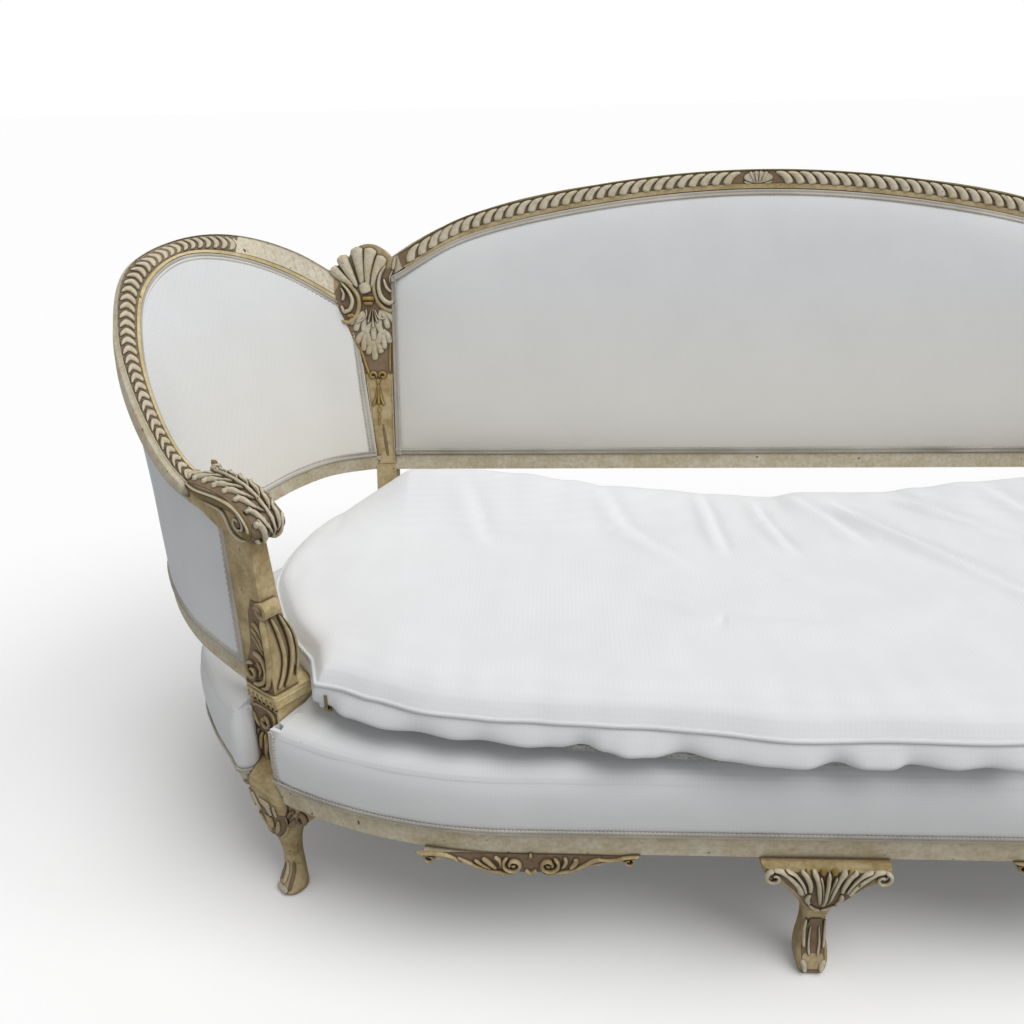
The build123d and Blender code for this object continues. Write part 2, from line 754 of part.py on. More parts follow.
# Wing pieces
def wing_top_corners(step):
    inner, outer, through = wing_inner[step], wing_outer[step], wing_through[step]
    return [inner, outer, outer + through, inner + through]


def wing_foot_corners(step):
    low, high, through = wing_foot[step], wing_foot_top[step], wing_through[step]
    return [low, high, high + through, low + through]


def wing_pad_corners(step):
    foot, top, slope = wing_foot_top[step], wing_inner[step], wing_slope[step]
    through = wing_through[step]
    swell = wing_pad_crown * math.sin(math.pi * (0.1 + 0.8 * step / wing_stations)) / wing_board
    front = [foot, foot + slope * braid_width]
    for share in (0.25, 0.5, 0.75):
        front.append(foot + (top - foot) * share - through * (swell * math.sin(math.pi * share)))
    front += [top - slope * braid_width, top]
    return front + [top + through * wing_pad_share, foot + through * wing_pad_share]


def wing_layer_corners(share_from, share_to):
    def corners(step):
        foot, top, through = wing_foot_top[step], wing_inner[step], wing_through[step]
        margin = wing_slope[step] * braid_width
        near, far = through * share_from, through * share_to
        return [foot + near, top + near, top + far, top - margin + far, foot + margin + far, foot + far]
    return corners


def braid_corners(edge, direction, share, outwards):
    """Section of a braid laid on the wing beside a rail."""
    def corners(step):
        outward = wing_through[step].normalized() * outwards
        start = edge[step] + wing_through[step] * share + outward * braid_gap
        stand = outward * braid_thickness
        across = wing_slope[step] * (braid_width * direction)
        return [start, start + across, start + across + stand, start + stand]
    return corners


def trim_wing(piece, cut_along):
    """Cut a wing strip where it meets the back post and the arm post, and keep its main run."""
    with BuildPart() as cut:
        add(piece.part)
        split(bisect_by=block_cut(cut_along), keep=Keep.BOTTOM)
        add(back_post.part, mode=Mode.SUBTRACT)
        add(pilaster.part, mode=Mode.SUBTRACT)
        if cut_along == post_out:
            add(hand_scroll.part, mode=Mode.SUBTRACT)
    with BuildPart() as trimmed:
        add(cut.part.solids().sort_by(SortBy.VOLUME)[-1])
    return trimmed


webbing_end_share = wing_pad_share + wing_webbing_share
save_pair(trim_wing(wing_solid(wing_top_corners), -hand_back), "wing_top_rail")
save_pair(trim_wing(wing_solid(wing_foot_corners), post_out), "wing_bottom_rail")
save_pair(trim_wing(wing_solid(wing_pad_corners), post_out), "wing_pad")
save_pair(trim_wing(wing_solid(wing_layer_corners(webbing_end_share, 1.0)), post_out), "wing_outer_cover")
with BuildPart() as wing_webbing:
    add(trim_wing(wing_solid(wing_layer_corners(wing_pad_share, webbing_end_share)), post_out).part)
    mirror(about=Plane.YZ)
save(wing_webbing, "wing_webbing")
with BuildPart() as wing_braid:
    for share, outwards in ((0.0, -1), (1.0, 1)):
        add(trim_wing(wing_solid(braid_corners(wing_inner, -1, share, outwards)), post_out).part)
        add(trim_wing(wing_solid(braid_corners(wing_foot_top, 1, share, outwards)), post_out).part)
    mirror(about=Plane.YZ)
save(wing_braid, "wing_braid")

# Seat: stretchers between the front and back rails
stretcher_top = webbing_height - webbing_thickness
with BuildPart() as seat_stretchers:
    with BuildSketch(base.offset(stretcher_top - stretcher_thickness)):
        with Locations(*[(side * stretcher_x, (seat_depth) / 2) for side in (-1, 1)]):
            Rectangle(stretcher_width, seat_depth - 2 * rail_thickness)
    extrude(amount=stretcher_thickness)
save(seat_stretchers, "seat_stretchers")

# Space of the corner frames, kept clear by the upholstery
with BuildPart() as corner_space:
    for low, high, half_u, reach in ((rail_bottom, block_top, block_side / 2, 2 * plinth_reach),
                                     (block_top - cap_height, block_top, block_side / 2 + cap_overhang, block_side)):
        with BuildSketch(block_level(low, 0, (half_u - reach) / 2)):
            Rectangle(2 * half_u, half_u + reach)
        extrude(amount=high - low)
    with BuildSketch(base.offset(rail_bottom)):
        with Locations((-rear_corner_x, rear_corner_y)):
            Rectangle(rear_leg_side, rear_leg_side)
    extrude(amount=rail_top - rail_bottom)
    add(back_post.part)
    mirror(about=Plane.YZ)


def clear_of_frame():
    """Cut the corner frames' space from the piece being built."""
    add(corner_space.part, mode=Mode.SUBTRACT)


# Webbing between the rails
rail_inside = cover_rebate + rail_thickness
with BuildPart() as seat_webbing:
    with BuildSketch(base.offset(webbing_height - webbing_thickness)):
        with Locations((0, seat_depth / 2)):
            with GridLocations(webbing_pitch, 0, 27, 1):
                Rectangle(webbing_width, seat_depth)
            with GridLocations(0, webbing_pitch, 1, 10):
                Rectangle(2 * wing_half_span, webbing_width)
        add(seat_face(rail_thickness, rail_inside, rail_thickness), mode=Mode.INTERSECT)
    extrude(amount=webbing_thickness)
    clear_of_frame()
save(seat_webbing, "seat_webbing")

# Springs, drawn as waisted sleeves in place of their coils
spring_height = spring_top - webbing_height
with BuildPart() as one_spring:
    with BuildSketch(Plane.XZ):
        with BuildLine():
            ThreePointArc((spring_radius, 0), (spring_waist, spring_height / 2), (spring_radius, spring_height))
            ThreePointArc((spring_radius - spring_wall, 0), (spring_waist - spring_wall, spring_height / 2),
                          (spring_radius - spring_wall, spring_height))
            Line((spring_radius - spring_wall, 0), (spring_radius, 0))
            Line((spring_radius - spring_wall, spring_height), (spring_radius, spring_height))
        make_face()
    revolve(axis=Axis.Z)
with BuildPart() as seat_springs:
    for row in range(spring_rows):
        for column in range(spring_columns):
            x = (column - (spring_columns - 1) / 2) * spring_pitch_x
            y = spring_first_y + row * spring_pitch_y - centre_y
            add(Pos(x, y, webbing_height) * one_spring.part)
save(seat_springs, "seat_springs")

# Hessian over the springs and the edge roll
with BuildPart() as spring_cover:
    with BuildSketch(base.offset(spring_top)):
        add(seat_face(cover_rebate, cover_rebate, cover_rebate))
    extrude(amount=hessian_thickness)
    clear_of_frame()
save(spring_cover, "spring_cover")

# Edge roll on top of the rails
roll_inside = cover_rebate + edge_roll_width
with BuildPart() as seat_edge_roll:
    with BuildSketch(base.offset(rail_top)):
        add(seat_face(cover_rebate, cover_rebate, cover_rebate))
        add(seat_face(roll_inside, roll_inside, roll_inside), mode=Mode.SUBTRACT)
    extrude(amount=spring_top - rail_top)
    clear_of_frame()
save(seat_edge_roll, "seat_edge_roll")

# Seat stuffing and the deck cover over it. Each pair is a share of the stuffing's
# height and a share of the inset where the deck is full height.
stuffing_bottom = spring_top + hessian_thickness
deck_shares = [(0.38, 0.07), (0.60, 0.20), (0.66, 0.58), (1.0, 1.0)]
deck_rise = deck_height - stuffing_bottom


def deck_levels(skin):
    """Heights and insets up the rounded edge of the deck, a skin's thickness inside it."""
    rim = cover_rebate - seat_cover_thickness
    return [(stuffing_bottom + deck_rise * rise - skin, rim + (deck_crown_inset - rim) * inset_share + skin)
            for rise, inset_share in deck_shares]


with BuildPart() as seat_stuffing:
    with BuildSketch(base.offset(stuffing_bottom)):
        add(seat_face(cover_rebate, cover_rebate, cover_rebate))
    extrude(amount=seat_edge_height - stuffing_bottom)
    for height, inset in [(seat_edge_height, cover_rebate)] + deck_levels(seat_cover_thickness)[1:]:
        with BuildSketch(base.offset(height)):
            add(seat_face(inset, inset, inset))
    loft(ruled=True)
    clear_of_frame()
save(seat_stuffing, "seat_stuffing")
with BuildPart() as deck_cover:
    for height, inset in [(seat_edge_height, cover_rebate - seat_cover_thickness)] + deck_levels(0)[1:]:
        with BuildSketch(base.offset(height)):
            add(seat_face(inset, inset, inset))
    loft(ruled=True)
    clear_of_frame()
    add(seat_stuffing.part, mode=Mode.SUBTRACT)
save(deck_cover, "deck_cover")

# Covers round the seat's edge: share of the panel's height, share of its bulge
panel_shares = [(0.0, -0.1), (0.16, 0.6), (0.48, 1.0), (0.78, 0.55), (1.0, -0.6)]
with BuildPart() as front_seat_panel:
    panel_bottom = rail_bottom + show_wood_height
    for rise, bulge in panel_shares:
        with BuildSketch(base.offset(panel_bottom + (seat_edge_height - panel_bottom) * rise)):
            add(front_face(-seat_cover_bulge * bulge, cover_rebate, front_sweep))
    loft(ruled=True)
    clear_of_frame()
    split(bisect_by=block_cut(0), keep=Keep.TOP)
    split(bisect_by=Plane(origin=(-block_centre.X, block_centre.Y, 0), z_dir=(-along_block.X, along_block.Y, 0)), keep=Keep.TOP)
save(front_seat_panel, "front_seat_panel")
with BuildPart() as side_seat_panel:
    for rise, bulge in panel_shares:
        with BuildSketch(base.offset(side_cover_bottom + (seat_edge_height - side_cover_bottom) * rise)):
            add(side_face(-seat_cover_bulge * bulge, cover_rebate))
    loft(ruled=True)
    clear_of_frame()
    split(bisect_by=block_cut(-block_side / 2), keep=Keep.BOTTOM)
    split(bisect_by=Plane(origin=(-rear_corner_x - rear_leg_side / 2, 0, 0), z_dir=(1, 0, 0)), keep=Keep.BOTTOM)
save_pair(side_seat_panel, "side_seat_panel")
with BuildPart() as back_seat_panel:
    with BuildSketch(base.offset(side_cover_bottom)):
        with Locations((0, seat_depth + back_cover_stand / 2)):
            Rectangle(2 * rear_corner_x - rear_leg_side, back_cover_stand)
    extrude(amount=seat_edge_height - side_cover_bottom)
save(back_seat_panel, "back_seat_panel")

# Cloth under the seat, between the rails
with BuildPart() as dust_cover:
    with BuildSketch(base.offset(dust_cover_height)):
        add(seat_face(rail_thickness, rail_inside, rail_thickness))
    extrude(amount=seat_cover_thickness)
    clear_of_frame()
save(dust_cover, "dust_cover")

# Braid along the lower edge of the front and side covers
with BuildPart() as seat_braid:
    with BuildSketch(base.offset(rail_bottom + show_wood_height)):
        add(front_face(-seat_cover_bulge, 0, front_sweep))
    extrude(amount=braid_width)
    clear_of_frame()
    split(bisect_by=block_cut(0), keep=Keep.TOP)
    split(bisect_by=Plane(origin=(-block_centre.X, block_centre.Y, 0), z_dir=(-along_block.X, along_block.Y, 0)), keep=Keep.TOP)
    add(front_seat_panel.part, mode=Mode.SUBTRACT)
with BuildPart() as side_braid:
    with BuildSketch(base.offset(side_cover_bottom)):
        add(side_face(-seat_cover_bulge, 0))
    extrude(amount=braid_width)
    clear_of_frame()
    split(bisect_by=block_cut(-block_side / 2), keep=Keep.BOTTOM)
    split(bisect_by=Plane(origin=(-rear_corner_x - rear_leg_side / 2, 0, 0), z_dir=(1, 0, 0)), keep=Keep.BOTTOM)
    add(side_seat_panel.part, mode=Mode.SUBTRACT)
    mirror(about=Plane.YZ)
with BuildPart() as all_seat_braid:
    add(seat_braid.part)
    add(side_braid.part)
save(all_seat_braid, "seat_braid")

# Loose cushion. The front is one arc, so that the zip's slider can follow it.
arc_centre_y = cushion_front_radius - cushion_front_reach
cushion_bottom = deck_height + cushion_gap
cushion_middle_y = cushion_back_y - cushion_depth_half
cushion_side = [Vector(-x * cushion_half, y * seat_depth) for x, y in cushion_side_shares]


def cushion_outline(reach, end_y, apex_y, side_inset):
    """Level outline of the cushion, closed round the sides and back from its front arc."""
    squeeze_x = 1 - side_inset / cushion_half
    squeeze_y = 1 - side_inset / cushion_depth_half
    with BuildSketch() as face:
        with BuildLine():
            front = ThreePointArc((-reach, end_y), (0, apex_y), (reach, end_y))
            corners = []
            for side, start in ((-1, front @ 0), (1, front @ 1)):
                flank = [Vector(-side * p.X * squeeze_x, cushion_middle_y + (p.Y - cushion_middle_y) * squeeze_y)
                         for p in cushion_side]
                end = Vector(side * cushion_back_half * squeeze_x, cushion_back_y - side_inset)
                edge = Spline(start, *flank, end)
                corners.append(edge @ 1)
            Line(*corners)
        make_face()
    return face.sketch


def cushion_edge_face(front_inset, side_inset):
    """Outline at the cushion's edge, where the front keeps the same centre at every inset."""
    radius = cushion_front_radius - front_inset
    reach = cushion_front_half * (1 - side_inset / cushion_half)
    end_y = arc_centre_y - math.sqrt(radius**2 - reach**2)
    return cushion_outline(reach, end_y, arc_centre_y - radius, side_inset)


def cushion_crown_face(inset):
    """Outline on the cushion's crown, drawn in evenly towards its middle."""
    reach = cushion_front_half * (1 - inset / cushion_half)
    squeeze = 1 - inset / cushion_depth_half
    end_rise = cushion_middle_y - arc_centre_y + math.sqrt(cushion_front_radius**2 - cushion_front_half**2)
    return cushion_outline(reach, cushion_middle_y - end_rise * squeeze, cushion_middle_y - cushion_depth_half * squeeze, inset)


# Levels up the cushion: share of the edge's height, then the front and side insets as
# shares of the tuck. On the crown: share of the crown's rise and of its inset.
edge_shares = [(0.0, 0.6, 1.3), (0.07, 0.25, 1.0), (0.35, 0.25, 1.0), (0.6, 0.0, 0.0), (1.0, 0.3, 0.3)]
crown_rises = [(0.30, 0.10), (0.62, 0.30), (0.88, 0.62), (1.0, 1.0)]


def cushion_solid(skin):
    """The cushion's whole form, a skin's thickness inside its surface."""
    bottom = cushion_bottom + skin
    edge_rise = cushion_edge_height - skin - bottom
    crown_rise = cushion_top - cushion_edge_height
    with BuildPart() as form:
        for rise, front, side in edge_shares:
            with BuildSketch(base.offset(bottom + edge_rise * rise)):
                add(cushion_edge_face(cushion_tuck * front + skin, cushion_tuck * side + skin))
        for rise, share in crown_rises:
            with BuildSketch(base.offset(cushion_edge_height - skin + crown_rise * rise)):
                add(cushion_crown_face(cushion_crown_inset * share + skin))
        loft(ruled=True)
    return form


def zip_band_face(front_radius, back_radius, angle_from, angle_to):
    """Level face of a strip that follows the cushion's front."""
    centre = (0, arc_centre_y)
    with BuildSketch() as face:
        with BuildLine():
            near = CenterArc(centre, front_radius, -90 + angle_from, angle_to - angle_from)
            far = CenterArc(centre, back_radius, -90 + angle_from, angle_to - angle_from)
            Line(near @ 0, far @ 0)
            Line(near @ 1, far @ 1)
        make_face()
    return face.sketch


# Piping round the top edge, set a little into the cover's seam. Each pair is a share
# of the piping's radius up from the seam and a share outwards from it.
piping_shares = [(-1.0, 0.5), (-0.4, 1.3), (0.4, 1.3), (1.0, 0.5)]
seam_inset = cushion_tuck * edge_shares[-1][1]
with BuildPart() as cushion_piping:
    for rise, stand in piping_shares:
        with BuildSketch(base.offset(cushion_edge_height + piping_radius * rise)):
            outer_inset = seam_inset - piping_radius * stand
            add(cushion_edge_face(outer_inset, outer_inset))
    loft(ruled=True)
    with BuildSketch(base.offset(cushion_edge_height - overrun)):
        inner_inset = seam_inset + piping_radius * 0.3
        add(cushion_edge_face(inner_inset, inner_inset))
    extrude(amount=2 * overrun, mode=Mode.SUBTRACT)
save(cushion_piping, "cushion_piping")

# Cover with its slot for the zip, and the filling
zip_face_radius = cushion_front_radius - cushion_tuck * 0.25
cushion_filling = cushion_solid(cover_thickness)
cushion_form = cushion_solid(0)
with BuildPart() as cushion_cover:
    add(cushion_form.part)
    add(cushion_filling.part, mode=Mode.SUBTRACT)
    add(cushion_piping.part, mode=Mode.SUBTRACT)
    with BuildSketch(base.offset(zip_height - zip_band / 2)):
        add(zip_band_face(zip_face_radius + overrun, zip_face_radius - cover_thickness, -zip_half_angle, zip_half_angle))
    extrude(amount=zip_band, mode=Mode.SUBTRACT)
save(cushion_cover, "cushion_cover")
save(cushion_filling, "cushion_filling")

# Zip tape with its teeth, set in the cover's slot
with BuildPart() as cushion_zip:
    with BuildSketch(base.offset(zip_height - zip_band / 2)):
        add(zip_band_face(zip_face_radius, zip_face_radius - zip_thickness, -zip_half_angle, zip_half_angle))
    extrude(amount=zip_band)
save(cushion_zip, "cushion_zip")

# Slider on the zip, parked at the left, with two cheeks and a bar for the pull
park = math.radians(zip_park_angle)
out_of_cushion = Vector(-math.sin(park), -math.cos(park), 0)
slider_face = zip_face_radius + pin_gap + slider_thickness
eye_radius = bail_radius + eye_gap + pull_thickness * 0.65
bar_height = zip_height + slider_thickness / 2
bar_centre = Vector(0, arc_centre_y - centre_y, bar_height) + out_of_cushion * (slider_face + pin_gap + eye_radius)
bar_along = Vector(-math.cos(park), math.sin(park), 0)
bar_plane = Plane(origin=bar_centre, x_dir=out_of_cushion, z_dir=bar_along)
half_slider = math.degrees(slider_length / 2 / zip_face_radius)
cheek_gap = pull_width + 4 * pin_gap
with BuildPart() as zip_slider:
    with BuildSketch(base.offset(zip_height - slider_width / 2)):
        add(zip_band_face(slider_face, zip_face_radius + pin_gap, -zip_park_angle - half_slider, -zip_park_angle + half_slider))
    extrude(amount=slider_width)
    for side in (-1, 1):
        with BuildSketch(bar_plane.offset(side * (cheek_gap + pull_thickness) / 2)):
            with Locations((-(eye_radius + pin_gap) / 2, 0)):
                Rectangle(eye_radius + pin_gap + 2 * bail_radius, 2 * bail_radius)
        extrude(amount=pull_thickness / 2, both=True)
    with BuildSketch(bar_plane):
        Circle(bail_radius)
    extrude(amount=cheek_gap / 2 + pull_thickness / 2, both=True)
save(zip_slider, "zip_slider")

# Pull, hanging from the slider's bar
with BuildPart() as zip_pull:
    with BuildSketch(bar_plane):
        Circle(eye_radius)
        with Locations((0, pull_length / 2)):
            Rectangle(pull_thickness, pull_length)
        Circle(bail_radius + eye_gap, mode=Mode.SUBTRACT)
    extrude(amount=pull_width / 2, both=True)
save(zip_pull, "zip_pull")
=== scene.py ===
"""Carved and painted French-style basket sofa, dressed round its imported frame."""
import json
import math

import bpy
from mathutils import Matrix, Vector, noise


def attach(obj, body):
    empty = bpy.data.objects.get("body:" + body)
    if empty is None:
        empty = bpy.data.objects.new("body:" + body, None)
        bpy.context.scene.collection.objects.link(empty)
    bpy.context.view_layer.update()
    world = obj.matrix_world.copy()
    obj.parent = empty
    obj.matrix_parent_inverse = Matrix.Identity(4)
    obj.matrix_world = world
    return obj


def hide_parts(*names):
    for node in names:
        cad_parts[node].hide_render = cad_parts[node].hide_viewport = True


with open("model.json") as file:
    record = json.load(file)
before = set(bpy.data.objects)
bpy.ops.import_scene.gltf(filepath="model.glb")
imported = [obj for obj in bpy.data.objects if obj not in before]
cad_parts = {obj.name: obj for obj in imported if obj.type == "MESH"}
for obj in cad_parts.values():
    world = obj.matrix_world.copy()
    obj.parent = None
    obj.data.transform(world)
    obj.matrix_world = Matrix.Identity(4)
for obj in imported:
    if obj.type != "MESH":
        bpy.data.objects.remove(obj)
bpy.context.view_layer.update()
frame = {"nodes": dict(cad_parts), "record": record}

MM = 0.001

# Sizes shared with the frame in millimetres; y counts back from the front rail's face
CENTRE_Y = 453.5
WING_SPAN, SEAT_DEPTH, WING_HEIGHT = 1120.0, 752.0, 978.0
BACK_Y, BACK_Z, BACK_LEAN = 744.0, 507.0, math.radians(15.64)
BACK_HALF, BACK_FOOT, CREST_HEIGHT, CREST_FACE = 711.0, 30.0, 1058.0, 36.0
BLOCK_X, BLOCK_Y, BLOCK_TURN = 810.0, 165.0, math.radians(37.7)
BLOCK_HALF = 34.0
WING_BOARD = 34.0
FRONT_HALF, FRONT_RADIUS = 445.0, 752.0
CUSHION_RADIUS, CUSHION_REACH = 2400.0, 13.0

# Wing curves as shares of the wing's span, seat's depth and wing's height, from the back post to the hand
WING_INNER = [
    (0.683, 1.120, 0.813), (0.807, 1.093, 0.906), (0.888, 1.000, 0.958), (0.945, 0.894, 0.970), (0.971, 0.765, 0.934),
    (0.954, 0.632, 0.865), (0.908, 0.492, 0.796), (0.839, 0.359, 0.735), (0.737, 0.235, 0.706)]
WING_OUTER = [
    (0.683, 1.141, 0.857), (0.794, 1.112, 0.947), (0.887, 1.035, 0.992), (0.962, 0.935, 0.994), (0.995, 0.757, 0.969),
    (0.982, 0.614, 0.892), (0.922, 0.445, 0.817), (0.847, 0.303, 0.747), (0.761, 0.189, 0.714)]
WING_FOOT = [
    (0.656, 1.000, 0.518), (0.741, 0.951, 0.518), (0.790, 0.871, 0.518), (0.826, 0.769, 0.518), (0.859, 0.658, 0.518),
    (0.884, 0.545, 0.514), (0.884, 0.432, 0.501), (0.830, 0.319, 0.460), (0.737, 0.235, 0.411)]
WING_LEAN = [1.0, 1.0, 1.0, 1.0, 0.9, 0.5, 0.2, 0.05, 0.0]
# Sides of the seat and of the cushion, from the front: shares of their half widths and of the seat's depth
SIDE_OUTLINE = [
    (0.765, 0.160), (0.808, 0.223), (0.848, 0.306), (0.886, 0.412), (0.902, 0.532), (0.887, 0.665), (0.844, 0.785),
    (0.786, 0.884), (0.723, 0.951), (0.660, 1.000)]
CUSHION_SIDE = [
    (0.856, 0.200), (0.866, 0.229), (0.913, 0.307), (0.954, 0.406), (0.991, 0.517), (1.000, 0.597), (0.993, 0.698),
    (0.972, 0.798), (0.917, 0.888)]


def at(x, y, z):
    """Point in the frame's metres from millimetres behind the front rail."""
    return Vector((x * MM, (y - CENTRE_Y) * MM, z * MM))


def flat(points):
    """Vectors from pairs of numbers."""
    return [Vector((a, b, 0)) for a, b in points]


def along(points, share):
    """Point on a smooth curve through the listed points, share from 0 to 1."""
    last = len(points) - 1
    place = min(max(share, 0.0), 1.0) * last
    span = min(int(place), last - 1)
    t = place - span
    here, there = points[span], points[span + 1]
    before = points[span - 1] if span > 0 else here * 2 - there
    after = points[span + 2] if span + 2 <= last else there * 2 - here
    slope_in, slope_out = (there - before) * 0.5, (after - here) * 0.5
    bend = (here - there) * 2 + slope_in + slope_out
    rise = (there - here) * 3 - slope_in * 2 - slope_out
    return bend * t ** 3 + rise * t ** 2 + slope_in * t + here


def even(curve, steps, start=0.0):
    """Shares along a curve, from a start to its end, that lie evenly by length."""
    fine = [curve(start + (1.0 - start) * k / 400) for k in range(401)]
    reach = [0.0]
    for a, b in zip(fine, fine[1:]):
        reach.append(reach[-1] + (b - a).length)
    found, k = [], 0
    for step in range(steps + 1):
        goal = reach[-1] * step / steps
        while k < 399 and reach[k + 1] < goal:
            k += 1
        part = (goal - reach[k]) / max(reach[k + 1] - reach[k], 1e-9)
        found.append(start + (1.0 - start) * (k + part) / 400)
    return found


def shares(steps, start=0.0, span=1.0):
    """Even shares from a start over a span."""
    return [start + span * k / steps for k in range(steps + 1)]


# Wing curves
wing_points = {
    name: [at(-x * WING_SPAN, y * SEAT_DEPTH, z * WING_HEIGHT) for x, y, z in rows]
    for name, rows in (("inner", WING_INNER), ("outer", WING_OUTER), ("foot", WING_FOOT))}
wing_places = [along(wing_points["inner"], share) for share in shares(16)]
wing_through = []
for k in range(17):
    run = wing_places[min(k + 1, 16)] - wing_places[max(k - 1, 0)]
    lean = along(flat((v, 0) for v in WING_LEAN), k / 16).x
    outward = Vector((run.y, -run.x, 0)).normalized() + Vector((0, lean, -0.32))
    wing_through.append(outward.normalized() * WING_BOARD * MM)


def wing(name, share):
    return along(wing_points[name], share)


def through(share):
    return along(wing_through, share)


def wing_foot_top(share):
    return wing("foot", share) + Vector((0, 0, 28 * MM))


def back_at(x, run, stand=0.0):
    """Point on the leaning back: across, up the slope, and out from it, in millimetres."""
    up = Vector((0, math.sin(BACK_LEAN), math.cos(BACK_LEAN)))
    out = Vector((0, -math.cos(BACK_LEAN), math.sin(BACK_LEAN)))
    return at(x, BACK_Y, BACK_Z) + up * run * MM + out * stand * MM


CREST_SHARES = [
    (-1.0, 0.860), (-0.767, 0.934), (-0.385, 0.983), (0.0, 1.0), (0.385, 0.983), (0.767, 0.934), (1.0, 0.860)]
crest_points = flat((s, (h * CREST_HEIGHT - BACK_Z) / math.cos(BACK_LEAN)) for s, h in CREST_SHARES)


def crest_run(x):
    """Height of the crest's top edge up the slope, at a place across the back."""
    low, high = 0.0, 1.0
    for _ in range(24):
        middle = (low + high) / 2
        if along(crest_points, middle).x < x / BACK_HALF:
            low = middle
        else:
            high = middle
    return along(crest_points, low).y


def crest_slope(x):
    """Rise of the crest's edge for each step across, and the length of that step."""
    slope = (crest_run(x + 2) - crest_run(x - 2)) / 4
    return slope, math.hypot(1, slope)


BLOCK_ALONG = Vector((math.cos(BLOCK_TURN), -math.sin(BLOCK_TURN), 0))
BLOCK_INTO = Vector((math.sin(BLOCK_TURN), math.cos(BLOCK_TURN), 0))


def block_at(u, v, z):
    """Point in the turned corner block's own directions, in millimetres."""
    return at(-BLOCK_X, BLOCK_Y, z) + (BLOCK_ALONG * u + BLOCK_INTO * v) * MM


def front_line(distance, inset=0.0):
    """Point of the seat's bowed front, at a distance from its middle along the rail's face."""
    side = 1 if distance >= 0 else -1
    far = abs(distance)
    if far <= FRONT_HALF:
        return distance, inset
    swing = (far - FRONT_HALF) / FRONT_RADIUS
    return (side * (FRONT_HALF + (FRONT_RADIUS - inset) * math.sin(swing)),
            FRONT_RADIUS - (FRONT_RADIUS - inset) * math.cos(swing))


side_points = flat((-x * WING_SPAN, y * SEAT_DEPTH) for x, y in SIDE_OUTLINE)


def side_line(share, inset=0.0, points=side_points):
    """Point of the seat's left side, moved inwards by an inset."""
    here = along(points, share)
    run = (along(points, share + 0.01) - along(points, share - 0.01)).normalized()
    return here.x + run.y * inset, here.y - run.x * inset


def block_mm(u, v):
    """The same as block_at, flat and in millimetres behind the front rail."""
    return Vector((-BLOCK_X, BLOCK_Y, 0)) + BLOCK_ALONG * u + BLOCK_INTO * v


# The side cover turns in round the end of its rail and meets the block
cover_points = [block_mm(-33.2, -36), block_mm(-33.6, -52), block_mm(-46, -65)] + side_points[1:]


def side_cover_line(share, inset=0.0):
    return side_line(share, inset, cover_points)


# Making meshes
def edit(piece):
    """Select a piece alone and open all of its mesh for editing."""
    bpy.ops.object.select_all(action='DESELECT')
    piece.select_set(True)
    bpy.context.view_layer.objects.active = piece
    bpy.ops.object.mode_set(mode='EDIT')
    bpy.ops.mesh.select_all(action='SELECT')


def finish_mesh(piece, merge=0.00002, smooth=50.0):
    """Merge doubles, close holes, turn the faces outwards and shade the piece."""
    edit(piece)
    bpy.ops.mesh.remove_doubles(threshold=merge)
    bpy.ops.mesh.fill_holes(sides=0)
    bpy.ops.mesh.select_all(action='SELECT')
    bpy.ops.mesh.normals_make_consistent(inside=False)
    bpy.ops.object.mode_set(mode='OBJECT')
    bpy.ops.object.shade_smooth_by_angle(angle=math.radians(smooth))
    return piece


def shaped_grid(name, steps_u, steps_v, place, smooth=50.0):
    """A grid whose every vertex is moved to place(u, v), with its seams merged and its ends closed."""
    bpy.ops.mesh.primitive_grid_add(x_subdivisions=steps_u, y_subdivisions=steps_v, size=1)
    piece = bpy.context.object
    piece.name = piece.data.name = name
    for vertex in piece.data.vertices:
        vertex.co = place(vertex.co.x + 0.5, vertex.co.y + 0.5)
    return finish_mesh(piece, smooth=smooth)


def ring_sweep(name, stations, section, smooth=50.0):
    """Closed strip: section(share) gives the ring of points at each station."""
    rings = [section(share) for share in stations]
    count, steps = len(rings[0]), len(stations) - 1

    def place(u, v):
        return rings[min(round(v * steps), steps)][round(u * count) % count]
    return shaped_grid(name, count, steps, place, smooth)


def cover_sweep(name, columns, rows, front, back):
    """Closed cover or pad: front(u, v) gives its face and back(u, v) the side against the frame."""
    def section(share):
        return [front(share, v) for v in shares(rows)] + [back(share, 1.0), back(share, 0.5), back(share, 0.0)]
    return ring_sweep(name, shares(columns), section, 60)


def cut_at_block(piece, u):
    """Cut a left-hand piece off at a plane of the turned corner block, and close the cut."""
    edit(piece)
    bpy.ops.mesh.bisect(plane_co=block_at(u, 0, 0), plane_no=BLOCK_ALONG, use_fill=True, clear_outer=True)
    bpy.ops.object.mode_set(mode='OBJECT')
    return piece


def mirrored(piece, name):
    """Copy of a left-hand piece for the right, with its own mesh."""
    copy = piece.copy()
    copy.data = piece.data.copy()
    copy.name = copy.data.name = name
    bpy.context.scene.collection.objects.link(copy)
    for vertex in copy.data.vertices:
        vertex.co.x = -vertex.co.x
    edit(copy)
    bpy.ops.mesh.flip_normals()
    bpy.ops.object.mode_set(mode='OBJECT')
    return copy


def wear(piece, material, body="sofa"):
    """Give a piece its material and the body it moves with."""
    piece.data.materials.clear()
    piece.data.materials.append(material)
    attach(piece, body)
    return piece


def both(piece, material, nodes=()):
    """Finish a left-hand piece and its mirrored twin; nodes are the frame's stems they stand for."""
    stem = piece.name.removesuffix("_left")
    twin = mirrored(piece, f"{stem}_right")
    for one, side in ((piece, "left"), (twin, "right")):
        wear(one, material)
        for node in nodes:
            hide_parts(f"{node}_{side}")
    return piece, twin


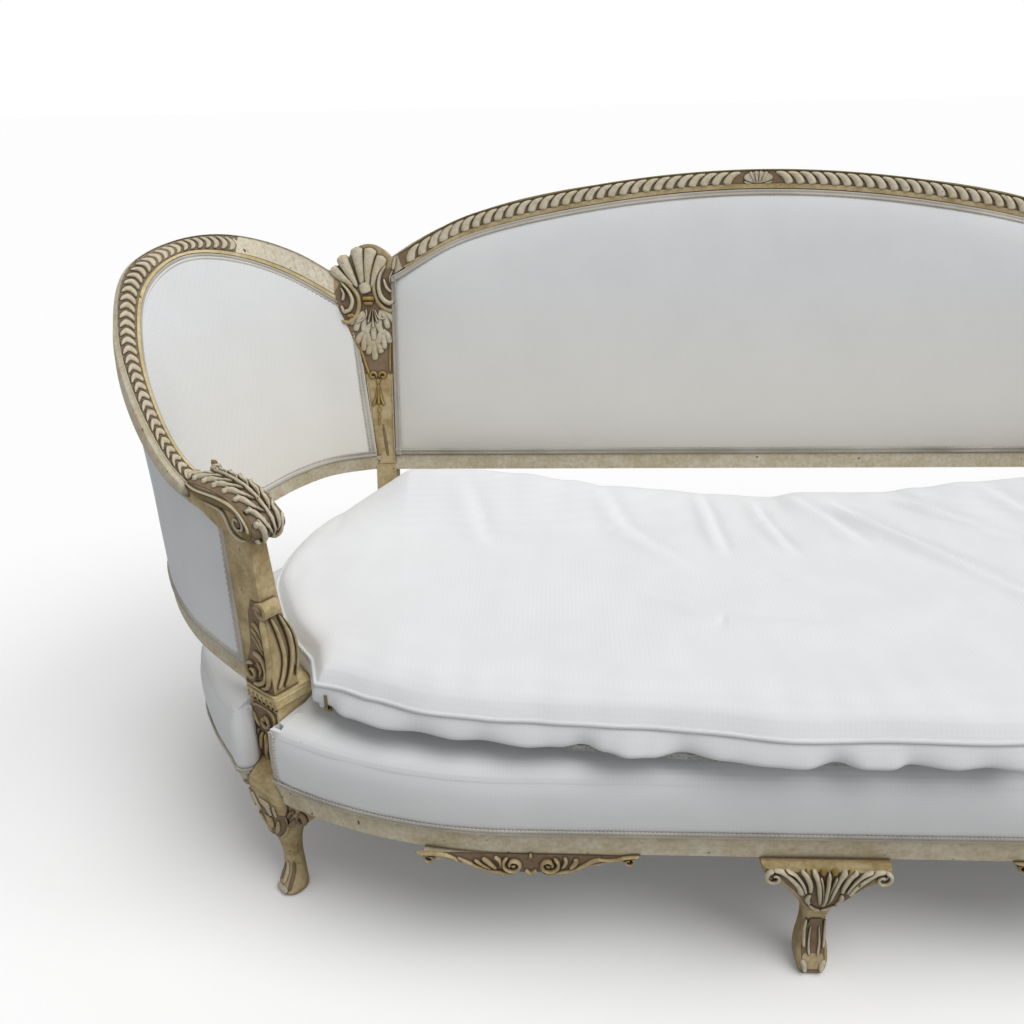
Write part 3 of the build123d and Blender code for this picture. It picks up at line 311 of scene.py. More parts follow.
# Materials
def srgb(text):
    """Linear colour of an sRGB hex value."""
    parts = [int(text[k:k + 2], 16) / 255 for k in (0, 2, 4)]
    return tuple(p / 12.92 if p <= 0.04045 else ((p + 0.055) / 1.055) ** 2.4 for p in parts) + (1.0,)


def new_material(name):
    material = bpy.data.materials.new(name)
    material.use_nodes = True
    return material, material.node_tree, material.node_tree.nodes["Principled BSDF"]


def fill(made, settings):
    """Set up a node: a value goes to the input or property of its name, and a socket is linked in."""
    for key, value in settings.items():
        if isinstance(value, bpy.types.NodeSocket):
            made.id_data.links.new(value, made.inputs[key])
        elif isinstance(key, int) or key in made.inputs:
            made.inputs[key].default_value = value
        else:
            setattr(made, key, value)
    return made


def node(tree, kind, settings=None):
    """Add one node with its settings and links."""
    return fill(tree.nodes.new("ShaderNode" + kind), settings or {})


def ramp(tree, factor, stops):
    """Colour ramp from a factor; stops are positions with hex colours or grey values."""
    made = node(tree, "ValToRGB", {"Fac": factor})
    elements = made.color_ramp.elements
    while len(elements) < len(stops):
        elements.new(0.5)
    for element, (position, colour) in zip(elements, stops):
        element.position = position
        element.color = srgb(colour) if isinstance(colour, str) else (colour, colour, colour, 1.0)
    return made.outputs["Color"]


def grain(tree, place, scale, detail, roughness):
    settings = {"Vector": place, "Scale": scale, "Detail": detail, "Roughness": roughness}
    return node(tree, "TexNoise", settings).outputs["Fac"]


def mixed(tree, factor, first, second, blend="MIX"):
    settings = {"blend_type": blend, "Fac": factor, "Color1": first, "Color2": second}
    return node(tree, "MixRGB", settings).outputs["Color"]


def maths(tree, operation, *terms, clamp=False):
    return node(tree, "Math", {"operation": operation, "use_clamp": clamp, **dict(enumerate(terms))}).outputs[0]


def bumped(tree, height, strength, distance, **others):
    settings = {"Height": height, "Strength": strength, "Distance": distance, **others}
    return node(tree, "Bump", settings).outputs["Normal"]


def painted_beech(name, cream, warm, wash, strength, gilt):
    """Beech under gesso and aged cream oil paint: brushed brown wash stays in the hollows, and
    rubbed gilding shows as soft ochre patches and on the raised edges."""
    material, tree, shader = new_material(name)
    place = node(tree, "TexCoord").outputs["Object"]
    patches = grain(tree, place, 26.0, 5.0, 0.62)
    streaks = grain(tree, place, 140.0, 4.0, 0.6)
    body = mixed(tree, ramp(tree, patches, [(0.42, 0.0), (0.62, min(gilt * 2.0, 1.0))]), srgb(cream), srgb(warm))
    brushed = mixed(tree, 0.35, body, ramp(tree, streaks, [(0.35, "b8a98a"), (0.6, "ffffff")]), "MULTIPLY")
    wide, close = (node(tree, "AmbientOcclusion", {"Distance": distance, "samples": 8}).outputs["AO"]
                   for distance in (0.014, 0.005))
    broken = maths(tree, "MULTIPLY_ADD", patches, 0.30, -0.15)
    depth = maths(tree, "ADD", maths(tree, "MULTIPLY", wide, close), broken, clamp=True)
    hollow = maths(tree, "MULTIPLY", ramp(tree, depth, [(0.30, 1.0), (0.86, 0.0)]), strength, clamp=True)
    washed = mixed(tree, hollow, brushed, srgb(wash))
    chip = ramp(tree, grain(tree, place, 85.0, 2.0, 0.5), [(0.71, 0.0), (0.735, 1.0)])
    fill(shader, {
        "Base Color": mixed(tree, chip, washed, srgb("6b5236")), "Specular IOR Level": 0.4,
        "Roughness": ramp(tree, streaks, [(0.3, 0.50), (0.7, 0.66)]),
        "Normal": bumped(tree, chip, 0.5, 0.0006, invert=True, Normal=bumped(tree, streaks, 0.35, 0.0008))})
    return material


def woven_cotton(name, colour, shade, thread, aged=None, painted_boxing_shade=None):
    """Plain-weave cotton: fine threads over and under, drawn at about 0.9 mm because the real
    0.4 mm threads are too fine to show, with faint slubs and a dusty sheen. The aged colour
    makes the cloth warmer and darker low on the back and wings, and the boxing shade colour is
    painted shade on the strip sewn in below the piping, where it faces forward and down."""
    material, tree, shader = new_material(name)
    place = node(tree, "TexCoord").outputs["Object"]
    height = node(tree, "SeparateXYZ", {"Vector": place}).outputs["Z"]
    across, upward = (node(tree, "TexWave", {
        "Vector": place, "wave_type": "BANDS", "bands_direction": direction, "Scale": 1000 / thread / 20,
        "Distortion": 0.6, "Detail": 1.0}).outputs["Fac"] for direction in "XZ")
    weave = maths(tree, "MULTIPLY", across, upward)
    tone = ramp(tree, grain(tree, place, 9.0, 3.0, 0.6), [(0.32, shade), (0.66, colour)])
    # The aged colour makes the cloth warmer and darker low on the back and wings, strongest just above the seat.
    if aged:
        tone = mixed(tree, ramp(tree, height, [(0.42, 0.0), (0.54, 0.75), (0.86, 0.0)]), tone, srgb(aged))
    # Painted shade: the boxing strip below the piping takes a duller colour where it faces forward and down.
    if painted_boxing_shade:
        tone = mixed(tree, ramp(tree, height, [(0.425, 1.0), (0.431, 0.0)]), tone, srgb(painted_boxing_shade))
    fill(shader, {
        "Base Color": mixed(tree, 0.03, tone, weave, "MULTIPLY"), "Roughness": 0.86, "Specular IOR Level": 0.25,
        "Sheen Weight": 0.15, "Sheen Roughness": 0.5, "Normal": bumped(tree, weave, 0.08, 0.0002)})
    return material


def plain_finish(name, colour, other, roughness, metallic, scale):
    """Simple finish: one tone broken by its own grain."""
    material, tree, shader = new_material(name)
    specks = grain(tree, node(tree, "TexCoord").outputs["Object"], scale, 4.0, 0.6)
    fill(shader, {"Base Color": ramp(tree, specks, [(0.35, other), (0.65, colour)]), "Roughness": roughness,
                  "Metallic": metallic, "Normal": bumped(tree, specks, 0.2, 0.0005)})
    return material


cream_paint = painted_beech("aged cream paint on beech", "cfc7b1", "b9aa85", "5a4a36", 0.9, 0.30)
aged_paint = painted_beech("rubbed cream paint and gilding on beech", "c3b188", "9d8758", "4f3d2a", 0.95, 0.40)
gilt_paint = painted_beech("rubbed gilding on beech", "b49a58", "9a7d3c", "4f3d2a", 0.9, 0.5)
dark_paint = painted_beech("brown wash on beech", "847058", "725c42", "46372a", 0.85, 0.3)
carved_paint = painted_beech("cream paint on carving", "d6cdb6", "c6b98f", "55432f", 1.0, 0.22)
pale_paint = painted_beech("pale cream paint on beech", "ece4d0", "d9cca8", "8a7450", 0.6, 0.2)
block_paint = painted_beech("yellowed cream paint on beech", "dccb9e", "bfa872", "5a4630", 0.6, 0.3)
olive_paint = painted_beech("olive glaze on beech", "84733f", "75653a", "463a22", 0.8, 0.3)
# Its aged colour e0dccf makes the cloth warmer and darker low on the back and wings.
calico = woven_cotton("bleached calico", "e4e5e6", "e0e1e2", 0.9, "e0dccf")
plain_calico = woven_cotton("outside calico", "dfe2e5", "d9dcdf", 0.9)
# Its boxing colour d8dadc is painted shade on the cushion's strip below the piping.
cushion_cotton = woven_cotton("white cotton drill with painted boxing shade", "edeef0", "eaebed", 1.1, painted_boxing_shade="d8dadc")
piping_cotton = woven_cotton("bias-cut cotton piping", "e4e5e7", "dcddde", 0.8)
braid_cotton = woven_cotton("woven cotton gimp", "c6c1b6", "aba69a", 1.6)
beech = plain_finish("sawn beech", "b08a5c", "9a7548", 0.7, 0.0, 45.0)
hessian = plain_finish("black lining cloth", "3a3835", "2c2a28", 0.95, 0.0, 300.0)
jute = plain_finish("jute webbing", "9b8158", "80683f", 0.95, 0.0, 200.0)
steel = plain_finish("coppered spring steel", "8d7f74", "7a6a5c", 0.35, 1.0, 90.0)
zip_metal = plain_finish("dull plated zinc", "8f8566", "75694a", 0.38, 1.0, 400.0)
zip_tape = plain_finish("zip tape and teeth", "b2b3ae", "6f6f68", 0.8, 0.0, 500.0)

finishes = {
    "painted_wood": cream_paint, "plain_beech": beech, "calico": calico, "braid": braid_cotton, "stuffing": jute,
    "webbing": jute, "hessian": hessian, "spring_steel": steel, "cushion_cotton": cushion_cotton,
    "cushion_filling": cushion_cotton, "zip_tape": zip_tape, "zip_metal": zip_metal}
for part in frame["record"]["subparts"]:
    stem, finish = part["node"], finishes[part["material_slot"]]
    if stem.startswith("corner_block"):
        finish = block_paint
    elif stem.startswith(("arm_post", "hand_scroll", "front_centre_leg", "back_post")):
        finish = aged_paint
    cad = frame["nodes"][stem]
    cad.data.materials.clear()
    cad.data.materials.append(finish)


# Wing rails
def wing_top_section(share):
    inner, outer, board = wing("inner", share), wing("outer", share), through(share)
    face = [inner.lerp(outer, across) + board * deep for across, deep in (
        (0.33, 0.0), (0.66, 0.0), (1.0, 0.0), (1.0, 0.2), (0.82, 0.5), (0.54, 0.84), (0.3, 1.0), (0.0, 1.0))]
    return [inner] + face


def wing_foot_section(share):
    low, high, board = wing("foot", share), wing_foot_top(share), through(share)
    return [low, high, high + board * 0.5, high + board, low + board, low + board * 0.5]


wing_shares = shares(90)
top_rail = ring_sweep("wing_rail_top_left", wing_shares, wing_top_section, 35)
both(cut_at_block(top_rail, -100), cream_paint, ["wing_top_rail"])
foot_rail = ring_sweep("wing_rail_foot_left", wing_shares, wing_foot_section, 35)
both(cut_at_block(foot_rail, -BLOCK_HALF), cream_paint, ["wing_bottom_rail"])


# Upholstered wings
def wing_pad_place(share, height):
    """Point of the wing's inner face: along the wing, up from the foot rail, standing inwards."""
    foot, top = wing_foot_top(share), wing("inner", share)
    swell = 20.0 * (math.sin(math.pi * height) ** 0.7) * (math.sin(math.pi * (0.06 + 0.88 * share)) ** 0.8)
    pucker = noise.noise(Vector((share * 7.0, height * 3.0, 2.0))) * 2.2 * math.sin(math.pi * height)
    return foot.lerp(top, height) - through(share).normalized() * (swell + pucker) * MM


pad_heights = shares(30)


def wing_pad_section(share):
    front = [wing_pad_place(share, height) for height in pad_heights]
    return front + [edge + through(share) * 0.6 for edge in (wing("inner", share), wing_foot_top(share))]


pad = ring_sweep("wing_inside_left", shares(90, 0.018, 0.982), wing_pad_section, 60)
for piece in both(cut_at_block(pad, -BLOCK_HALF), calico, ["wing_pad"]):
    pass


def wing_cover_section(share):
    foot, top, board = wing_foot_top(share), wing("inner", share), through(share)
    rows = []
    for height in pad_heights:
        pucker = (noise.noise(Vector((share * 16.0, height * 2.5, 7.0))) * 2.6 - 1.2) * math.sin(math.pi * height)
        rows.append(foot.lerp(top, height) + board + board.normalized() * pucker * MM)
    return rows + [top + board * 0.8, foot + board * 0.8]


cover = ring_sweep("wing_outside_left", wing_shares, wing_cover_section, 60)
both(cut_at_block(cover, -BLOCK_HALF), plain_calico, ["wing_outer_cover"])


# Upholstered back
def back_place(u, v):
    """Place on the back's face, across and up the slope, and how far its padding stands out there."""
    x = (2 * u - 1) * BACK_HALF
    low, high = BACK_FOOT, crest_run(x) - CREST_FACE
    edge = 1.0
    for gap in (BACK_HALF - abs(x), (high - low) * v, (high - low) * (1 - v)):
        edge *= 1 - math.exp(-max(gap, 0.0) / 40.0)
    pucker = noise.noise(Vector((u * 9.0, v * 3.0, 4.0))) * 1.6
    return x, low + (high - low) * v, (24.0 + pucker) * edge


def back_layer(stand):
    """The back's face moved to a set distance from its frame's face."""
    return lambda u, v: back_at(*back_place(u, v)[:2], stand)


def back_outside(u, v):
    sag = noise.noise(Vector((u * 6.0, v * 2.0, 9.0))) * 1.5
    return back_layer(-35.0 + sag * (1 - abs(2 * u - 1) ** 6) * (1 - abs(2 * v - 1) ** 6))(u, v)


back = cover_sweep("back_inside", 150, 64, lambda u, v: back_at(*back_place(u, v)), back_layer(-16.0))
wear(back, calico)
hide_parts("back_inner_cover", "back_stuffing")
rear = cover_sweep("back_outside", 90, 24, back_outside, back_layer(-32.0))
wear(rear, plain_calico)
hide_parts("back_outer_cover")


# Seat covers
PANEL = [(0.0, -0.1), (0.08, 0.55), (0.22, 0.85), (0.45, 1.0), (0.66, 0.9), (0.84, 0.4), (1.0, -0.7)]
PANEL_TOP = 353.0
front_reach = FRONT_HALF + FRONT_RADIUS * math.radians(29.6)
side_shares = shares(90, 0.0, 0.97)


def panel_section(line, bottom):
    """Section of a cover that bulges out between its rail and the deck."""
    def section(share):
        ring = []
        ends = min(1.0, share / 0.06 + 0.15, (1 - share) / 0.06 + 0.15)
        for rise, bulge in PANEL:
            ripple = noise.noise(Vector((share * 30.0, rise * 2.0, 5.0))) * 0.8
            ring.append(at(*line(share, (-8.0 * bulge + ripple) * ends), bottom + (PANEL_TOP - bottom) * rise))
        return ring + [at(*line(share, 10.0), height) for height in (PANEL_TOP, bottom)]
    return section


def front_share(share, inset):
    """Front cover's line: the bowed front, turned in at both ends to meet the blocks."""
    if 0.025 <= share <= 0.975:
        return front_line((share - 0.5) / 0.475 * front_reach, inset)
    side = -1 if share < 0.5 else 1
    far = (0.025 - min(share, 1 - share)) / 0.025
    corner, x, y = block_mm(35.4, -32), *front_line(-front_reach, inset)
    return -side * (x + (corner.x - x) * far), y + (corner.y - y) * far


front_panel = ring_sweep("seat_front_cover", shares(160), panel_section(front_share, 252.0), 60)
wear(front_panel, calico)
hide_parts("front_seat_panel")
side_panel = ring_sweep("seat_side_cover_left", side_shares, panel_section(side_cover_line, 237.0), 60)
both(side_panel, calico, ["side_seat_panel"])

RAIL_FACE = [(-0.6, 221.6), (-1.4, 224.0), (-1.4, 236.0), (-0.6, 238.0), (4.0, 238.0), (4.0, 221.6)]
both(ring_sweep("side_rail_face_left", side_shares,
                lambda share: [at(*side_cover_line(share, inset), height) for inset, height in RAIL_FACE]),
     cream_paint)


def seat_back_at(u, v, stand):
    return at((2 * u - 1) * 705.0, SEAT_DEPTH + stand, 225.0 + 128.0 * v)


def seat_back_place(u, v):
    bulge = (1 - abs(2 * u - 1) ** 8) * (1 - abs(2 * v - 1) ** 3)
    sag = noise.noise(Vector((u * 8.0, v * 2.0, 11.0))) * 1.2
    return seat_back_at(u, v, 3.0 + (4.0 + sag) * bulge)


seat_back = cover_sweep("seat_back_cover", 80, 16, seat_back_place, lambda u, v: seat_back_at(u, v, 0.2))
wear(seat_back, calico)
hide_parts("back_seat_panel")


def seat_loop(share, inset):
    """Closed outline of the seat: front, right side, back and left side."""
    if share < 0.35:
        return front_line((share / 0.175 - 1) * front_reach, inset)
    if share < 0.575:
        x, y = side_line((share - 0.35) / 0.225, inset)
        return -x, y
    right = side_line(1.0, inset)
    if share < 0.775:
        x = -right[0] * (1 - 2 * (share - 0.575) / 0.2)
        return x, min(right[1], SEAT_DEPTH - inset)
    return side_line((1.0 - share) / 0.225, inset)


# Rings of the deck: how far in from the seat's outline, and how high
DECK = [
    (-1.0, 338.0), (0.0, 344.5), (2.6, 350.4), (7.0, 355.4), (14.0, 359.6), (24.0, 363.0), (45.0, 365.2),
    (70.0, 367.0), (96.0, 375.0), (130.0, 382.5), (200.0, 382.5), (330.0, 382.5)]
DECK_RIM, DECK_CORE = 96.0, 330.0


def to_core(x, y, core_y, share):
    """Move a place of a loop towards the line that runs through the seat's middle."""
    core = max(-540.0, min(540.0, x * 0.72))
    return x + (core - x) * share, y + (core_y - y) * share


def deck_place(u, v):
    rank = v * (len(DECK) - 1)
    k = min(int(rank), len(DECK) - 2)
    inset, height = (a + (b - a) * (rank - k) for a, b in zip(DECK[k], DECK[k + 1]))
    x, y = seat_loop(u % 1.0, min(inset, DECK_RIM))
    if inset > DECK_RIM:
        x, y = to_core(x, y, 376.0, (inset - DECK_RIM) / (DECK_CORE - DECK_RIM) * 0.985)
    point = at(x, y, height)
    for side in (-1, 1):
        offset = point - at(side * BLOCK_X, BLOCK_Y, 0)
        reach_along = Vector((-side * BLOCK_ALONG.x, BLOCK_ALONG.y, 0))
        reach_into = Vector((-side * BLOCK_INTO.x, BLOCK_INTO.y, 0))
        du, dv = offset.dot(reach_along) / MM, offset.dot(reach_into) / MM
        if abs(du) < 36.0 and dv < 36.0:
            point += reach_into * (36.0 - dv) * MM
    return point


deck = shaped_grid("seat_deck", 240, 55, deck_place, 60)
wear(deck, calico)
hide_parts("deck_cover", "seat_stuffing")

TUCK = [block_mm(30, -34), Vector((*front_line(-front_reach + 62, 3), 0)), block_mm(30, 36), block_mm(150, 70)]


def corner_tuck_place(u, v, low=0.0):
    """Calico tucked in beside the block, between the front cover and the deck."""
    here = TUCK[0].lerp(TUCK[1], u).lerp(TUCK[2].lerp(TUCK[3], u), v)
    return at(here.x, here.y, 353.2 + 9.5 * math.sin(v * math.pi / 2) - low)


tuck = cover_sweep("seat_corner_tuck_left", 12, 12, corner_tuck_place, lambda u, v: corner_tuck_place(u, v, 14.0))
both(tuck, calico)


# Braid: a flat woven strip with two raised cords. Its section, as shares across and out
BRAID = [
    (0.0, -0.15), (0.0, 0.35), (0.12, 0.95), (0.3, 1.05), (0.42, 0.45), (0.58, 0.45), (0.7, 1.05), (0.88, 0.95),
    (1.0, 0.35), (1.0, -0.15)]


def braid_ring(start, across, out, scallops, share):
    """Section of the braid between its edges; the scallops are how often it swells over its length."""
    wobble = 1.0 + 0.10 * math.sin(2 * math.pi * scallops * share)
    return [start + (across * a + out * b) * wobble for a, b in BRAID]


def wing_braid_section(edge, direction, outwards):
    """Braid along an edge of the wing's inside or outside."""
    def section(share):
        inner, foot, board = wing("inner", share), wing_foot_top(share), through(share)
        slope = (inner - foot).normalized() * direction
        start = (inner if edge == "inner" else foot) + (board if outwards > 0 else Vector())
        out = board.normalized() * outwards
        return braid_ring(start - slope * 0.8 * MM, slope * 13.5 * MM, out * 2.8 * MM, 150, share)
    return section


def post_braid_section(height):
    """Braid up the end of the wing's inside, beside the back post."""
    start = wing_pad_place(0.019, height)
    across = (wing_pad_place(0.034, height) - start).normalized()
    return braid_ring(start, across * 12.5 * MM, -through(0.02).normalized() * 2.8 * MM, 40, height)


def arm_braid_section(height):
    """Braid up the end of the wing's outside, beside the arm post."""
    def cover_at(share):
        return wing_foot_top(share).lerp(wing("inner", share), height) + through(share)
    near, far = 0.7, 1.0
    for _ in range(18):
        middle = (near + far) / 2
        if (cover_at(middle) - block_at(-BLOCK_HALF - 0.5, 0, 0)).dot(BLOCK_ALONG) > 0:
            far = middle
        else:
            near = middle
    start = cover_at(near)
    across = (cover_at(near - 0.02) - start).normalized()
    return braid_ring(start, across * 12.0 * MM, through(near).normalized() * 2.6 * MM, 26, height)


for edge, direction in (("inner", -1), ("foot", 1)):
    for outwards, word in ((-1, "inside"), (1, "outside")):
        curve = (lambda s: wing("inner", s)) if edge == "inner" else wing_foot_top
        strip = ring_sweep(f"wing_braid_{edge}_{word}_left", even(curve, 420, 0.018 if outwards < 0 else 0.0),
                           wing_braid_section(edge, direction, outwards), 80)
        both(cut_at_block(strip, -BLOCK_HALF), braid_cotton)
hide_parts("wing_braid")
both(ring_sweep("wing_braid_post_left", shares(160, 0.03, 0.95), post_braid_section, 80), braid_cotton)
both(ring_sweep("wing_braid_arm_left", shares(120, 0.02, 0.96), arm_braid_section, 80), braid_cotton)


def frame_edge(lap):
    """Place on the inside of the back's frame and the way inwards, over four laps: crest, right, foot, left."""
    side_top = crest_run(BACK_HALF) - CREST_FACE
    if lap < 1.0:
        x = -BACK_HALF + 2 * BACK_HALF * lap
        slope, length = crest_slope(x)
        return x, crest_run(x) - CREST_FACE, slope / length, -1 / length
    if lap < 2.0:
        return BACK_HALF, side_top + (BACK_FOOT - side_top) * (lap - 1), -1, 0
    if lap < 3.0:
        return BACK_HALF - 2 * BACK_HALF * (lap - 2), BACK_FOOT, 0, 1
    return -BACK_HALF, BACK_FOOT + (side_top - BACK_FOOT) * (lap - 3), 1, 0


def back_braid_section(lap):
    def section(share):
        x, run, in_x, in_run = frame_edge(lap + share * 0.9996)
        start = back_at(x + in_x * 0.2, run + in_run * 0.2, 0.8)
        across = back_at(x + in_x * 11.7, run + in_run * 11.7, 6.6) - start
        out = back_at(0, 0, 1.0) - back_at(0, 0, 0.0)
        return braid_ring(start, across, out * 2.6, 60 if lap % 2 else 240, share)
    return section


for lap, word in enumerate(("crest", "right", "foot", "left")):
    strip = ring_sweep(f"back_braid_{word}", shares(160 if lap % 2 else 600), back_braid_section(lap), 80)
    wear(strip, braid_cotton)
    if word == "crest":
        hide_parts("back_braid")


def seat_braid_section(line, bottom, scallops):
    """Braid along the foot of a seat cover."""
    def section(share):
        low = at(*line(share, 0.5), bottom)
        out = (at(*line(share, -7.0), bottom) - low).normalized() * MM
        return braid_ring(low + out * 4.0, Vector((0, 0, 12.0 * MM)) + out * 3.0, out * 2.6, scallops, share)
    return section


def end_braid_section(share):
    """Braid that climbs the end of the front cover beside the block."""
    height = 253.0 + 99.0 * share
    bulge = 2.4 * math.sin(math.pi * min(1.0, share * 0.9 + 0.1))
    start = at(*front_line(-front_reach + 1.0, -1.0 - bulge), height)
    across = at(*front_line(-front_reach + 12.5, -2.0 - bulge * 1.6), height) - start
    out = Vector((across.y, -across.x, 0)).normalized()
    return braid_ring(start, across, out * 2.4 * MM, 14, share)


front_braid = ring_sweep("seat_braid_front", shares(900), seat_braid_section(front_share, 251.5, 300), 80)
wear(front_braid, braid_cotton)
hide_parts("seat_braid")
side_braid_section = seat_braid_section(side_cover_line, 236.0, 130)
both(ring_sweep("seat_braid_side_left", shares(400, 0.0, 0.97), side_braid_section, 80), braid_cotton)
both(ring_sweep("seat_braid_end_left", shares(60), end_braid_section, 80), braid_cotton)


# Carving. A stroke is a raised lobe along a line: its points, its three widths and its height.
def painted(piece, paint):
    """Paint a carved piece, and its mirrored twin if it is a left-hand one."""
    if piece.name.endswith("_left"):
        both(piece, paint)
    else:
        wear(piece, paint)


def stroke_half(widths, t):
    start, middle, end = widths
    full = start * (1 - t) ** 2 + (4 * middle - start - end) * t * (1 - t) + end * t ** 2
    cap = min(1.0, t / 0.14, (1 - t) / 0.14)
    return max(full, 0.4) / 2 * math.sqrt(max(0.0, 1 - (1 - cap) ** 2))


def carve(name, surface, strokes, paint, segments=10, rings=14):
    """One painted piece of many lobes that stand on a surface(a, b, height) given in millimetres."""
    bpy.ops.mesh.primitive_uv_sphere_add(segments=segments, ring_count=rings, radius=1)
    piece = bpy.context.object
    piece.name = piece.data.name = name
    copies = piece.modifiers.new("lobes", 'ARRAY')
    copies.count = len(strokes)
    copies.use_relative_offset = False
    bpy.ops.object.modifier_apply(modifier=copies.name)
    count = len(piece.data.vertices) // len(strokes)
    for index, (points, widths, height) in enumerate(strokes):
        line = flat(points)
        if len(line) == 2:
            line.insert(1, (line[0] + line[1]) / 2)
        for vertex in piece.data.vertices[index * count:(index + 1) * count]:
            x, y, z = vertex.co
            t = math.acos(max(-1.0, min(1.0, -z))) / math.pi
            here = along(line, t)
            run = (along(line, min(t + 0.02, 1.0)) - along(line, max(t - 0.02, 0.0))).normalized()
            half = stroke_half(widths, t)
            turn = math.atan2(y, x) if abs(x) + abs(y) > 1e-6 else 0.0
            rise = math.sin(turn) * height * min(1.0, half / (0.35 * max(widths)))
            side = Vector((run.y, -run.x, 0)) * math.cos(turn) * half
            vertex.co = surface(here.x + side.x, here.y + side.y, rise if rise > 0 else rise * 0.4)
    painted(finish_mesh(piece, merge=0.000005, smooth=70), paint)


def plate(name, surface, lefts, rights, height, paint, steps=40, depth=1.0):
    """Thin painted field between two lines on a surface."""
    left, right = flat(lefts), flat(rights)

    def section(share):
        a, b = along(left, share), along(right, share)
        face = [surface(*a.lerp(b, k / 6).xy, height) for k in range(7)]
        return [surface(a.x, a.y, -depth)] + face + [surface(b.x, b.y, -depth)]
    painted(ring_sweep(name, shares(steps), section, 40), paint)


def level(start, end, across, steps=10):
    """Points of a straight line along a surface, at one place across it."""
    return [(place, across) for place in shares(steps, start, end - start)]


def spiral(centre_a, centre_b, radius, start, turns):
    """Points of a volute that winds inwards from a start angle in degrees."""
    points = []
    for share in shares(12):
        reach, angle = radius * (1 - 0.72 * share), math.radians(start + 360 * turns * share)
        points.append((centre_a + reach * math.cos(angle), centre_b + reach * math.sin(angle)))
    return points


def flipped(strokes):
    """The same strokes mirrored across the middle, beside the given ones."""
    return strokes + [([(-a, b) for a, b in points], widths, height) for points, widths, height in strokes]


# Crest: gadroons that lean to the middle, a gold fillet under them and a small leaf
def crest_surface(x, down, height):
    slope, length = crest_slope(x)
    return back_at(x + slope / length * down, crest_run(x) - down / length, height)


plate("crest_ground", crest_surface, level(-697, 697, 2.5), level(-700, 700, 26.6), 0.5, dark_paint, 160)
lobes = []
for k in range(2, 31):
    x = -22.2 * k - 14
    worn = 26 <= k <= 28
    line = [(x - 2, 28.6), (x + 1, 19.0), (x + 11, 9.4), (x + 28, 4.2)]
    lobes.append((line, (16.4, 15.2, 2.6), 2.2 if worn else 5.0))
carve("crest_gadroons", crest_surface, flipped(lobes), carved_paint, 10, 10)
carve(
    "crest_leaf", crest_surface,
    flipped([
        ([(-2, 24), (-4, 12), (-5, 3)], (5, 8, 7), 6.5), ([(-6, 24), (-12, 13), (-16, 4)], (4, 7, 7), 6.0),
        ([(-10, 24), (-19, 19), (-26, 12)], (3, 6, 5), 5.0), ([(-12, 25), (-20, 25), (-27, 22)], (3, 5, 4), 4.0)]),
    carved_paint)
plate("crest_fillet", crest_surface, level(-696, 696, 26.4), level(-697, 697, 34.8), 2.6, aged_paint, 160)
carve("crest_lip", crest_surface, [(level(-705, 705, 1.2), (3.4, 3.4, 3.4), 2.4)], olive_paint, 10, 220)

# Wings: gadroons whose tails run on towards the hand, between an outer lip and a gold fillet
wing_reach = sum((wing("inner", (k + 1) / 50) - wing("inner", k / 50)).length for k in range(50)) / MM
wing_end = wing_reach * 0.965


def wing_surface(distance, across, height):
    """Along the wing's rail from the back post in millimetres, across it as hundredths, and out."""
    share = distance / wing_reach
    inner, outer = wing("inner", share), wing("outer", share)
    run = wing("inner", min(share + 0.01, 1.0)) - wing("inner", max(share - 0.01, 0.0))
    out = run.cross(outer - inner).normalized()
    if out.dot(through(share)) > 0:
        out.negate()
    return inner.lerp(outer, across / 100) + out * height * MM


plate(
    "wing_ground_left", wing_surface, level(wing_reach * 0.24, wing_end, 22), level(wing_reach * 0.24, wing_end, 90),
    0.5, dark_paint, 120)
pitch = 18.6
lobes = []
for k in range(int((wing_end - wing_reach * 0.25) / pitch)):
    d = wing_reach * 0.25 + pitch * k
    worn = k == 0 or 7 <= k <= 11
    line = [(d + 3, 25), (d - 4, 40), (d - 3, 62), (d + 8, 80), (d + 16, 90)]
    lobes.append((line, (9.5, 13.0, 3.5), 2.4 if worn else 4.8))
carve("wing_gadroons_left", wing_surface, lobes, carved_paint, 10, 12)
plate(
    "wing_pale_left", wing_surface, level(wing_reach * 0.012, wing_reach * 0.238, 20, 8),
    level(wing_reach * 0.012, wing_reach * 0.238, 96, 8), 0.7, pale_paint, 60)
faint = [([(d, 30), (d + 6, 60), (d + 18, 86)], (4, 7, 3), 1.4) for d in range(24, int(wing_reach * 0.24), 20)]
carve("wing_worn_leaf_left", wing_surface, faint, pale_paint)
plate(
    "wing_fillet_left", wing_surface, level(0, wing_reach * 0.97, 3), level(0, wing_reach * 0.97, 17), 2.0,
    block_paint, 120)
carve("wing_lip_left", wing_surface, [(level(0, wing_end, 98, 12), (4.5, 4.5, 4.5), 2.6)], cream_paint, 10, 160)


